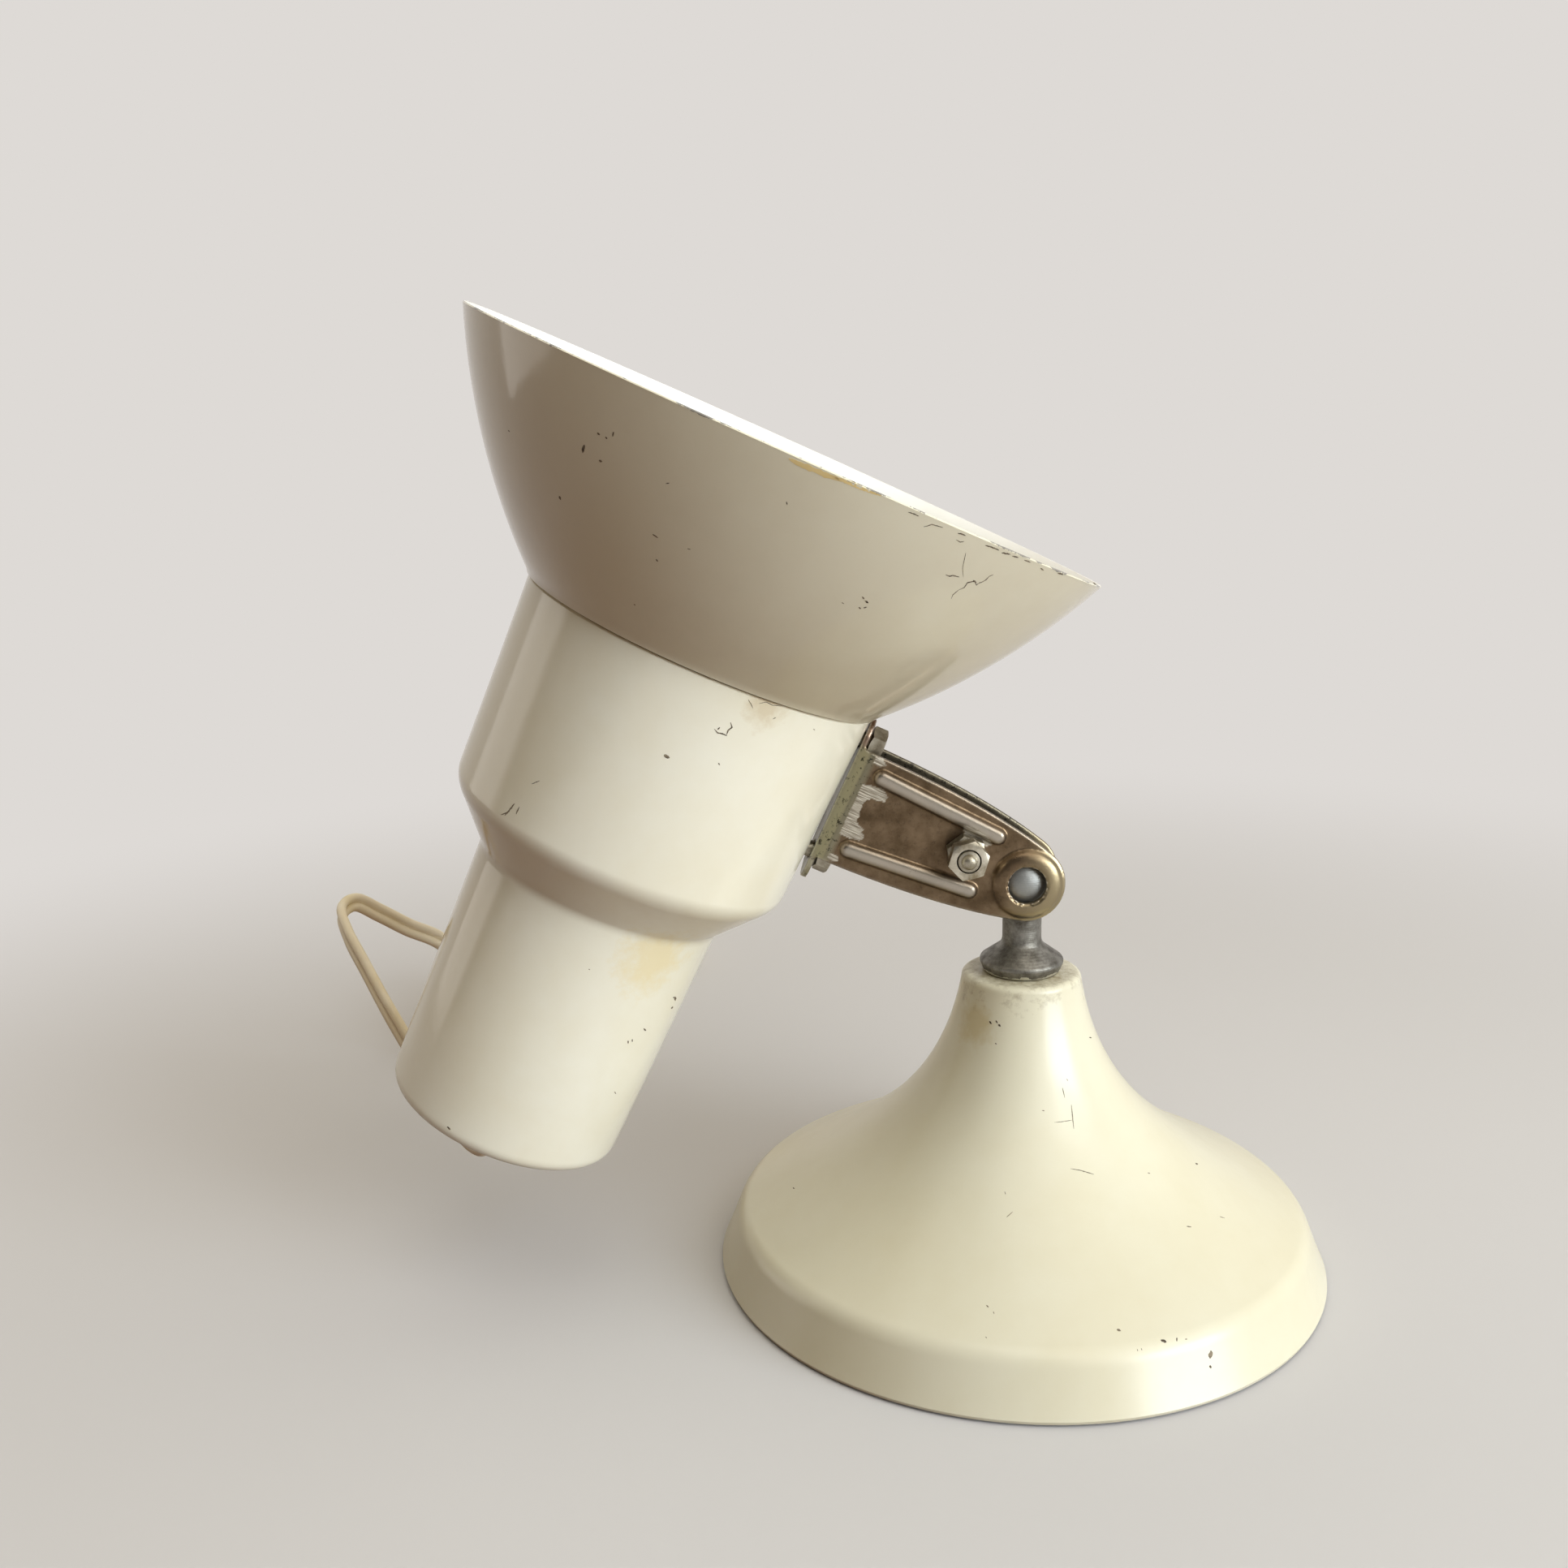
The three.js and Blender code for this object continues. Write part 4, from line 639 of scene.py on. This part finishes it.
shade_profile += [(sleeve_inner + 0.6, sleeve_high + 1.1), (sleeve_inner, sleeve_high + 0.4),
                  (sleeve_inner, sleeve_low), (sleeve_outer, sleeve_low), (sleeve_outer, sleeve_high),
                  (shade_foot[0] - 0.5, sleeve_high)]
shade_mesh = turned(shade_profile, 240)
for face in shade_mesh.faces:
    middle = face.calc_center_median()
    face.material_index = 1 if face.normal.x * middle.x + face.normal.y * middle.y < 0 else 0
# The shade's darker tone of the enamel is partly painted shade on its outside.
shade_enamel = enamel("ivory_stove_enamel_shade", "#e3dfca", "#dbd5be", 0.1)


def on_head(here):
    """A place on the head in its own axes: x to the ball, z along the spot."""
    sockets = {"Vector": here, "Location": (0, 0, ball_height / 1000), "Rotation": (0, lean, 0)}
    return add(here.id_data, "Mapping", sockets, vector_type="TEXTURE").outputs["Vector"]


tree = shade_enamel.node_tree
shader = tree.nodes["Principled BSDF"]
here = add(tree, "TexCoord", {}).outputs["Object"]
rim_wear = 0.45
rim_low = ramp(noise(here, 160, 6, 0.75), 0.5, 0.66, shade_rim[1] / 1000,
               (shade_rim[1] - rim_wear) / 1000)
spot_level = add(tree, "SeparateXYZ", {"Vector": on_head(here)}).outputs["Z"]
unworn = shader.inputs["Base Color"].links[0].from_socket
wire(shader, mixed(maths("GREATER_THAN", spot_level, rim_low), unworn, "#86827b"))
white_enamel = enamel("white_reflector_enamel", "#f5f5f2", "#efeee8", 0.35)
shade = place(moved(shade_mesh, spot_frame), "shade_spinning", "head", "cream_enamel", shade_enamel,
              white_enamel, instead_of=["shade"])

# Yoke: pressed from nickel-plated steel sheet into a U, with a dished cup, two ribs and a screw hole
# in each cheek and tabs above and below; its edges are tumbled round. The plate has browned, gone green
# where it wraps the housing, and been scratched bare where the head knocks against it. Its near crests
# are paler, partly rubbed and partly a painted highlight; the far cheek is painted darker as shade, and the
# end round the cup paler as a painted reflection.
cheek_face, cup_crease, cup_crest, cup_stand, skin_depth = 6.2, 7.85, 4.7, 1.55, 0.25
rib_half_width, rib_stand = 1.85, 1.35
rib_lines = [((-39.3, 9), (-10.6, 7.3)), ((-39.6, -8.6), (-11.2, -6.4))]
yoke = place(copied("yoke"), "yoke_pressing", "head", "aged_nickel", instead_of=["yoke"])
tumble = yoke.modifiers.new("tumble", "REMESH")
tumble.mode, tumble.voxel_size = "VOXEL", 0.0003
round_off = yoke.modifiers.new("round", "SMOOTH")
round_off.factor, round_off.iterations = 0.5, 4
yoke_data = settle(yoke)
photo_size, photo_middle = 1932, 966
pixels_per_view = lens.lens / lens.sensor_width * photo_size


def seen_at(point):
    """The pixel of the photograph that shows a place."""
    towards = point - camera_place
    depth = towards.dot(camera_forward)
    return (photo_middle + pixels_per_view * towards.dot(camera_right) / depth,
            photo_middle - pixels_per_view * towards.dot(camera_up) / depth)


def inside(outline, x, y):
    """Whether a pixel lies within an outline."""
    hits = [(ax - bx) * (y - by) / (ay - by) + bx > x
            for (ax, ay), (bx, by) in zip(outline, outline[1:] + outline[:1]) if (ay > y) != (by > y)]
    return sum(hits) % 2 == 1


def from_rib(x, z):
    """How far a place on a cheek is from the nearer rib's middle line."""
    found = []
    for (ax, az), (bx, bz) in rib_lines:
        run, rise = bx - ax, bz - az
        along = min(1, max(0, ((x - ax) * run + (z - az) * rise) / (run * run + rise * rise)))
        found.append(hypot(x - ax - along * run, z - az - along * rise))
    return min(found)


# Outlines, in pixels of the photograph, of the bare patches on the near cheek.
scratched_bare = [
    [(1063, 966), (1077, 969), (1088, 972), (1094, 983), (1090, 988), (1081, 987), (1075, 984), (1068, 986),
     (1063, 991), (1061, 996), (1058, 1002), (1059, 1006), (1055, 1011), (1058, 1016), (1064, 1022), (1061, 1025),
     (1065, 1030), (1063, 1034), (1058, 1036), (1052, 1034), (1046, 1033), (1034, 1027)],
    [(1080, 932), (1088, 934), (1092, 944), (1084, 945), (1076, 940)],
    [(1022, 1051), (1031, 1053), (1034, 1060), (1027, 1062), (1019, 1058)],
    [(1187, 1016), (1202, 1020), (1216, 1030), (1223, 1040), (1216, 1043), (1203, 1038), (1189, 1035)],
]
to_head = head_frame.inverted()
pressed = bmesh.new()
pressed.from_mesh(yoke_data)
bare, rubbed_and_highlight = pressed.verts.layers.float.new("bare"), pressed.verts.layers.float.new("rubbed_and_highlight")
for vert in pressed.verts:
    x, y, z = to_head @ vert.co * 1000
    stand, out, side = abs(y) - cheek_face, hypot(x, z), 1 if y > 0 else -1
    if out < cup_crease and x > -cup_crease and stand > -skin_depth:
        if out > cup_crest:
            dome = cup_stand * sqrt(max(0, 1 - ((out - cup_crest) / (cup_crease - cup_crest)) ** 2))
            y = (cheek_face + max(dome, stand)) * side
        else:
            y += (cup_stand - stand) * side * min(1, max(0, stand / cup_stand)) * 0.6
    elif stand > -skin_depth and from_rib(x, z) < rib_half_width:
        y = (cheek_face + max(stand, rib_stand * sqrt(1 - (from_rib(x, z) / rib_half_width) ** 3))) * side
    if y < -cheek_face + 0.5:
        pixel = seen_at(vert.co)
        vert[bare] = any(inside(outline, *pixel) for outline in scratched_bare)
    vert.co = head_frame @ (Vector((x, y, z)) / 1000)
bmesh.ops.smooth_vert(pressed, verts=pressed.verts, factor=0.5, use_axis_x=True, use_axis_y=True, use_axis_z=True)
pressed.normal_update()
neighbours = {vert: [edge.other_vert(vert) for edge in vert.link_edges] for vert in pressed.verts}
ridge = {vert: sum(vert.normal.dot((vert.co - other.co).normalized()) for other in others) / len(others)
         for vert, others in neighbours.items()}
for blur in range(2):
    ridge = {vert: (ridge[vert] + sum(ridge[other] for other in others)) / (len(others) + 1)
             for vert, others in neighbours.items()}
# Paler crests, edges and rib tops: partly plate rubbed through its brown film, partly a painted highlight; the far
# cheek keeps only a tenth of it.
ridge_from, ridge_span, rib_shine, far_shine = 0.05, 0.12, 1.25, 0.1
for vert, height in ridge.items():
    x, y, z = to_head @ vert.co * 1000
    on_rib = max(0, rib_shine - from_rib(x, z) / rib_half_width * rib_shine) if abs(y) > cheek_face + 0.4 else 0
    vert[rubbed_and_highlight] = min(1, max(0, (height - ridge_from) / ridge_span, on_rib)) * (1 if y < 1 else far_shine)
pressed.to_mesh(yoke_data)
pressed.free()
yoke_data.shade_smooth()
aged_nickel, shader, here = new_finish("worn_nickel_plate", {"Metallic": 0.85})
tree = aged_nickel.node_tree
head_place = on_head(here)
head_axes = add(tree, "SeparateXYZ", {"Vector": head_place}).outputs
patina = noise(here, 150, 7, 0.65)
web_share = ramp(head_axes["X"], -0.0418, -0.0432)
# The far cheek's darker tint is painted shade; this mask also spreads the dark specks over it.
far_share = ramp(head_axes["Y"], 0.001, 0.004)
spot_most = ramp(maths("MAXIMUM", web_share, far_share), 0, 1, 0.25, 0.9)
spot_share = maths("MULTIPLY", ramp(noise(here, 800, 4, 0.7), 0.55, 0.64), spot_most)
tab_share = ramp(head_axes["Z"], 0.0128, 0.0145)
# The end round the cup is paler towards the ball: a painted reflection.
cup_reflection_share = ramp(head_axes["X"], -0.004, 0.005)
rubbed_and_highlight_share = add(tree, "Attribute", {}, attribute_name="rubbed_and_highlight").outputs["Fac"]
bare_share = add(tree, "Attribute", {}, attribute_name="bare").outputs["Fac"]
scratch_place = add(tree, "Mapping", {"Vector": head_place, "Rotation": (0, radians(28), 0),
                                      "Scale": (250, 2600, 2600)}).outputs["Vector"]
scratch_lines = noise(scratch_place, 1)
bare_metal = mixed(ramp(scratch_lines, 0.35, 0.65), "#8a8071", "#c4bcae")
nickel_colour = mixed(ramp(patina, 0.36, 0.64), "#806c55", "#594834")
# Tints over the patina: green on the web, painted shade on the far cheek, dark specks, rust on the upper tab, a
# painted reflection round the cup, paler crests partly rubbed and partly painted highlight, and the bare patches.
for share, tint in (
    (web_share, "#958f78"), (far_share, "#6d6656"), (spot_share, "#2b2722"), (tab_share, "#6f5039"),
    (cup_reflection_share, "#988a6d"), (maths("MULTIPLY", rubbed_and_highlight_share, 0.62), "#cbc4b8"), (bare_share, bare_metal),
):
    nickel_colour = mixed(share, nickel_colour, tint)
pitted = bumpy(noise(here, 900, 3), 0.15, 0.0002)
wire(shader, nickel_colour, bumpy(scratch_lines, bare_share, 0.0002, Normal=pitted),
     maths("MULTIPLY_ADD", bare_share, 0.3, ramp(patina, 0, 1, 0.2, 0.42)))
yoke_data.materials.clear()
yoke_data.materials.append(aged_nickel)

# Screws: the clamp screw has a slotted round head behind and a domed tip in front, with a nut and a
# lock nut; two bolts hold the yoke on the housing.
clamp_x, clamp_z, thread_pitch, thread_start, thread_end = -15.6, 1.2, 0.8, 13, -6
web_inner_radius, web_sheet, bolt_clearance = 40.45, 1.3, 0.3


def hex_nut(width, height, bore, chamfer):
    """A hexagon nut on the upright axis, with its corners turned down."""
    mesh = bmesh.new()
    bmesh.ops.create_circle(mesh, cap_ends=False, segments=6, radius=width / sqrt(3) / 1000)
    bmesh.ops.subdivide_edges(mesh, edges=mesh.edges, cuts=7)
    up = bmesh.ops.extrude_edge_only(mesh, edges=list(mesh.edges))["geom"]
    bmesh.ops.translate(mesh, verts=[g for g in up if isinstance(g, bmesh.types.BMVert)],
                        vec=(0, 0, height / 1000))
    for vert in mesh.verts:
        spare = max(0, hypot(vert.co.x, vert.co.y) * 1000 - width / 2) * chamfer / 1000
        vert.co.z += -spare if vert.co.z > height / 2000 else spare
    for level in (height, 0):
        edges = [e for e in mesh.edges if all(abs(v.co.z * 1000 - level) < height * 0.3 for v in e.verts)
                 and len(e.link_faces) == 1]
        for radius in (width / 2 * 0.97, bore):
            grown = bmesh.ops.extrude_edge_only(mesh, edges=edges)["geom"]
            for vert in [g for g in grown if isinstance(g, bmesh.types.BMVert)]:
                flat = Vector((vert.co.x, vert.co.y, 0)).normalized() * radius / 1000
                vert.co = Vector((flat.x, flat.y, level / 1000))
            edges = [g for g in grown if isinstance(g, bmesh.types.BMEdge)]
    bmesh.ops.bridge_loops(mesh, edges=[e for e in mesh.edges if len(e.link_faces) == 1])
    return outward(mesh)


def fitted(mesh, axis, at, spin=0.0):
    """Lays an upright shape across or along the yoke and puts it in its place."""
    lay = Matrix.Rotation(pi / 2, 4, axis) @ Matrix.Rotation(spin, 4, "Z")
    return moved(mesh, head_frame @ at_mm(*at) @ lay)


nut_bright = plated("nickel_nuts", "#cfc8b8", "#8f836c", 0.3)
for name, node, level, spin, finish in (("front_nut", "clamp_lock_nut", -10.4, 8, nut_bright),
                                        ("back_nut", "clamp_nut", -6.5, 32, screw_steel)):
    nut = fitted(hex_nut(8, 3.6, 2.7, 0.6), "X", (clamp_x, level, clamp_z), radians(spin))
    place(nut, name, "head", "screw_steel", finish, instead_of=[node])
screw_line = [(0, 15.6), (0.9, 15.5), (1.45, 15.15), (1.7, 14.6), (1.75, 14.4), (2.3, 14.3), (2.42, 14.1),
              (2.42, 13.2)]
for thread in range(int((thread_start - thread_end) / thread_pitch)):
    level = thread_start - thread * thread_pitch
    screw_line += [(2.35, level - 0.1), (2.12, level - 0.4), (2.35, level - 0.7)]
screw_line += [(2.35, -6.5), (4.2, -6.5), (4.2, -8.3)] + bend((4.2, -8.4), (4, -9.5), (1.5, -9.5), 5) + [(0, -9.5)]
clamp = fitted(turned(screw_line, 40), "X", (clamp_x, 0, clamp_z))
clamp_screw = place(clamp, "clamp_screw_turning", "head", "screw_steel", screw_steel, instead_of=["clamp_screw"])
slot = moved(box_mesh((clamp_x - 0.55, 8.3, clamp_z - 6), (clamp_x + 0.55, 12, clamp_z + 6)), head_frame)
cut(clamp_screw, place(slot, "slot_tool", "head", "screw_steel", screw_steel))
web_face = web_inner_radius + web_sheet + bolt_clearance - reach
for where, height in (("upper", 14.2), ("lower", -13.2)):
    bolt = fitted(hex_nut(7, 3.3, 0.2, 0.55), "Y", (web_face, 0, height), radians(30))
    shank = turned([(0, -9.4), (1.9, -9.4), (1.9, 0.2), (0, 0.2)], 24)
    join(bolt, fitted(shank, "Y", (web_face, 0, height)))
    place(bolt, f"yoke_bolt_{where}_turning", "head", "screw_steel", screw_steel,
          instead_of=[f"yoke_bolt_{where}"])
    dress(screw_steel, f"yoke_nut_{where}")

# Inside the housing: a phenolic lampholder on a threaded tube, which its lock nut and the amber cord
# grip hold in the end of the neck. Heights count along the spot's axis, as the housing's do.
dress(screw_steel, "holder_tube", "holder_tube_nut")
dress(pin_brass, "lampholder_contact", "bulb_contact")
cap_line = [(5.3, -88), (8, -88)] + bend((8.6, -87.6), (10.8, -84.6), (16.4, -80.2), 6)
cap_line += bend((17.6, -79.8), (20.2, -79.2), (20.2, -76.6), 6)
cap_line += [(20.2, -69.5), (20, -69.3), (3, -69.3), (3, -80), (5.3, -80)]
barrel_line = [(13.3, -69), (20, -69), (20.2, -68.8)]
for rib in range(6):
    level = -66 + rib * 2
    barrel_line += [(20.2, level), (19.7, level + 0.3), (19.7, level + 0.9), (20.2, level + 1.2)]
barrel_line += bend((20.2, -42.6), (20.2, -40), (17.6, -40), 6) + [(13.9, -40), (13.3, -40.6)]
for part, line in (("cap", cap_line), ("barrel", barrel_line)):
    spun(line, 96, f"holder_{part}_moulding", "brown_phenolic", brown_phenolic, f"lampholder_{part}")
amber = clouded("amber_moulding", {"Roughness": 0.3, "IOR": 1.5, "Subsurface Weight": 0.4,
                                   "Subsurface Radius": (0.004, 0.002, 0.0006)}, "#c08a35", "#8a5a1f", 220, 3)
grip_line = [(1.9, -102.8), (3.5, -102.8), (3.75, -102.5), (4.2, -101.75), (6.6, -101.7), (7.1, -101.3),
             (7.2, -100.9), (7.2, -99.4), (7.1, -99.3), (5.3, -99.3), (5.3, -101.1), (1.9, -101.1)]
spun(grip_line, 64, "cord_grip_moulding", "amber_grip", amber, "cord_grip")

# Bulb: opal glass on a rolled aluminium screw cap, with black cap glass round its contact.
# It sits in the lampholder and ends below the shade's rim.
bulb_bottom, bulb_radius, bulb_length = -68, 30, 105
bulb_middle = bulb_bottom + bulb_length - bulb_radius
opal = clouded("opal_bulb_glass", {"Roughness": 0.22, "IOR": 1.5, "Subsurface Weight": 0.5,
                                   "Subsurface Radius": (0.01, 0.01, 0.01)}, "#f7f5ee", "#eeeade", 30)
swell = atan2(-15, 26)
glass_line = [(11.9, -45.5), (11.9, -38)] + bend((11.9, -36), (14.6, -27), (26, -8), 14)
glass_line += [(bulb_radius * cos(a), bulb_middle + bulb_radius * sin(a))
               for a in [swell + (pi / 2 - swell) * i / 24 for i in range(1, 24)]] + [(0, bulb_middle + bulb_radius)]
thread_line = [(0, -63.7), (9.6, -63.7), (12.2, -61.4)]
for thread in range(5):
    level = -60.6 + thread * 3.3
    thread_line += [(12.2, level), (12.7, level + 0.6), (13, level + 1.5), (12.7, level + 2.4), (12.2, level + 3)]
thread_line += [(12.9, -43.6), (12.9, -42.8)]
cap_metal = plated("rolled_aluminium", "#c9cac8", "#a2a29d", 0.3, 1.0)
spun(glass_line, 96, "bulb_glass_blowing", "opal_glass", opal, "bulb_glass")
spun(thread_line, 72, "bulb_cap_rolling", "cap_aluminium", cap_metal, "bulb_cap")
dress(clouded("black_cap_glass", {"Roughness": 0.15, "IOR": 1.52}, "#121114", "#262428", 500), "bulb_insulator")

# Wear: chips through the enamel down to its dark ground coat, pinholes, cracks and scuffs, each where the
# photograph shows it. Every mark is a thin flake that lies in the enamel's skin.
skins = {skin.name: BVHTree.FromObject(skin, bpy.context.evaluated_depsgraph_get())
         for skin in (foot, housing, shade)}
flake, ragged, longest_step = 0.06, 0.5, 0.004


def onto(names, x, y):
    """Half a flake above where the sight through a pixel meets the enamel."""
    sight = (camera_forward * pixels_per_view + camera_right * (x - photo_middle)
             + camera_up * (photo_middle - y)).normalized()
    found = [hit for hit in (skins[name].ray_cast(camera_place, sight) for name in names) if hit[0]]
    if not found:
        return None
    spot, facing = min(found, key=lambda hit: hit[3])[:2]
    return spot + facing * (-flake if facing.dot(sight) > 0 else flake) / 2000


def strip(mesh, names, line, width, seed):
    """One mark along some pixels: a flake with uneven edges and pointed ends."""
    rough = random.Random(seed)
    steps = []
    pixels = list(zip(line[::2], line[1::2]))
    for (ax, ay), (bx, by) in zip(pixels, pixels[1:]):
        count = max(2, round(hypot(bx - ax, by - ay) / max(1.2, width * 0.45)))
        steps += [(ax + (bx - ax) * i / count, ay + (by - ay) * i / count) for i in range(count)]
    steps.append(pixels[-1])
    sides = []
    for i, (x, y) in enumerate(steps):
        after, before = steps[min(i + 1, len(steps) - 1)], steps[max(i - 1, 0)]
        run, rise = after[0] - before[0], after[1] - before[1]
        length = max(hypot(run, rise), 0.001)
        taper = sqrt(max(0.04, 1 - (2 * i / (len(steps) - 1) - 1) ** 2))
        pair = []
        for side in (-1, 1):
            half = side * width / 2 * taper * (1 - ragged * rough.random())
            pair.append(onto(names, x - rise / length * half, y + run / length * half))
        if None not in pair and not (sides and (pair[0] - sides[-1][0]).length > longest_step):
            sides.append(pair)
    rows = [[mesh.verts.new(p) for p in pair] for pair in sides]
    faces = [mesh.faces.new((a[0], a[1], b[1], b[0])) for a, b in zip(rows, rows[1:])]
    bmesh.ops.recalc_face_normals(mesh, faces=faces)
    if faces:
        if faces[0].normal.dot(camera_place - faces[0].calc_center_median()) < 0:
            bmesh.ops.reverse_faces(mesh, faces=faces)
        bmesh.ops.solidify(mesh, geom=faces, thickness=flake / 1000)


def wear(name, body, names, finish, marks):
    """Marks as one piece; each is its width and the pixels that it follows."""
    mesh = bmesh.new()
    for number, (width, *line) in enumerate(marks):
        strip(mesh, names, line, width, number)
    place(outward(mesh), name, body, "cream_enamel", finish)


ground_coat = clouded("chipped_ground_coat", {"Roughness": 0.8}, "#35291d", "#8a7d68", 1500,
                      between=(0.35, 0.65))
spot_marks = [
    (4.5, 720, 548, 719, 552, 718, 558), (2.6, 736, 533, 739, 536), (2.2, 756, 532, 755, 538),
    (3.4, 738, 567, 742, 569), (2.6, 689, 611, 691, 616), (2, 626, 530, 628, 532), (2, 746, 538, 748, 541),
    (1.6, 804, 658, 811, 663), (1.8, 808, 689, 811, 692), (1.4, 820, 596, 825, 595),
    (1.5, 847, 676, 851, 677), (2, 781, 744, 783, 746), (1.6, 969, 618, 970, 622),
    (2.4, 1062, 735, 1065, 738), (2.8, 1066, 740, 1070, 743), (2.2, 1058, 748, 1061, 750),
    (1.8, 1064, 749, 1068, 748), (1.6, 1037, 742, 1040, 744),
    (1.8, 1165, 708, 1170, 710, 1174, 709, 1182, 711), (1, 1172, 738, 1174, 733, 1181, 727),
    (1.4, 1181, 727, 1188, 724, 1192, 718, 1201, 716, 1203, 721, 1208, 717), (3, 1199, 715, 1203, 718),
    (1.3, 1206, 719, 1214, 715, 1219, 710, 1224, 708), (0.7, 1187, 711, 1186, 700, 1190, 681),
    (1.4, 1178, 665, 1183, 668, 1188, 667), (2.2, 1180, 657, 1185, 658, 1190, 660),
    (2.4, 1214, 672, 1222, 674, 1231, 678), (2.6, 1234, 681, 1240, 682, 1245, 683), (2, 1247, 685, 1255, 687),
    (2, 1262, 690, 1270, 693), (2.2, 1282, 700, 1286, 703), (2.2, 1303, 706, 1310, 708),
    (1.8, 1119, 631, 1126, 633, 1132, 636), (1.4, 1138, 649, 1143, 648, 1148, 646, 1155, 648, 1162, 650),
    (2.6, 1347, 718, 1351, 721), (3.6, 1044, 592, 1054, 595), (2.2, 880, 898, 884, 903, 890, 904, 896, 907),
    (2.4, 895, 906, 897, 900, 902, 896, 900, 890), (2, 884, 899, 887, 896),
    (5.2, 818, 930, 821, 932, 825, 934), (2, 885, 940, 887, 943), (1.6, 1002, 898, 1004, 900),
    (1.2, 922, 862, 925, 867, 928, 873), (1, 935, 867, 944, 865, 952, 869, 962, 870), (1, 952, 886, 956, 884),
    (1.4, 617, 1004, 626, 1001), (2.4, 622, 1005, 628, 998, 634, 990), (1.4, 636, 1003, 640, 994),
    (1.2, 655, 966, 665, 962), (1.6, 725, 1194, 727, 1195), (3, 829, 1229, 832, 1229, 832, 1233),
    (2.2, 829, 1240, 827, 1243), (3, 793, 1267, 796, 1270), (2, 779, 1280, 779, 1284),
    (2.4, 774, 1282, 774, 1286), (1.8, 757, 1345, 759, 1348), (2.6, 551, 1388, 555, 1392),
]
wear("spot_chips", "head", ("housing_spinning", "shade_spinning"), ground_coat, spot_marks)
foot_marks = [
    (2.6, 1219, 1258, 1222, 1262), (2.4, 1227, 1257, 1229, 1261), (3.2, 1230, 1262, 1233, 1265),
    (2, 1226, 1285, 1228, 1287), (1.6, 1342, 1278, 1345, 1279), (1.2, 1314, 1329, 1316, 1332),
    (1.4, 1284, 1368, 1287, 1369), (1, 1309, 1340, 1312, 1353), (1.2, 1320, 1361, 1323, 1391),
    (0.9, 1299, 1383, 1310, 1382, 1322, 1380), (1.3, 1319, 1440, 1331, 1442, 1348, 1447),
    (1.2, 1248, 1493, 1240, 1500), (2.2, 1473, 1433, 1476, 1435), (1.4, 1414, 1445, 1417, 1446),
    (1.8, 1462, 1511, 1468, 1512), (1, 1503, 1499, 1509, 1501), (4, 1376, 1638, 1381, 1640),
    (5, 1430, 1651, 1434, 1652, 1437, 1654), (2, 1450, 1648, 1450, 1653), (2.4, 1460, 1650, 1463, 1650),
    (1.2, 1401, 1662, 1402, 1665), (1.2, 1406, 1661, 1407, 1664), (6, 1492, 1664, 1491, 1674),
    (3.6, 1491, 1682, 1492, 1686), (1.8, 1215, 1608, 1218, 1611), (1.6, 1224, 1616, 1225, 1619),
    (1.4, 1214, 1647, 1216, 1649), (1.2, 1238, 1468, 1239, 1472), (1.8, 977, 1463, 979, 1465),
]
wear("foot_chips", "base", ("foot_trumpet",), ground_coat, foot_marks)
varnish = clouded("aged_varnish_run", {"Roughness": 0.25, "IOR": 1.5, "Coat Weight": 0.3}, "#ecdba6", "#d9bd77",
                  300, 3)
varnish_marks = [
    (9.5, 972, 565, 986, 572, 998, 577, 1010, 582, 1024, 588, 1038, 593),
    (5.5, 1020, 584, 1034, 590, 1046, 595, 1058, 600, 1070, 605, 1086, 611),
]
wear("rim_varnish_run", "head", ("shade_spinning",), varnish, varnish_marks)
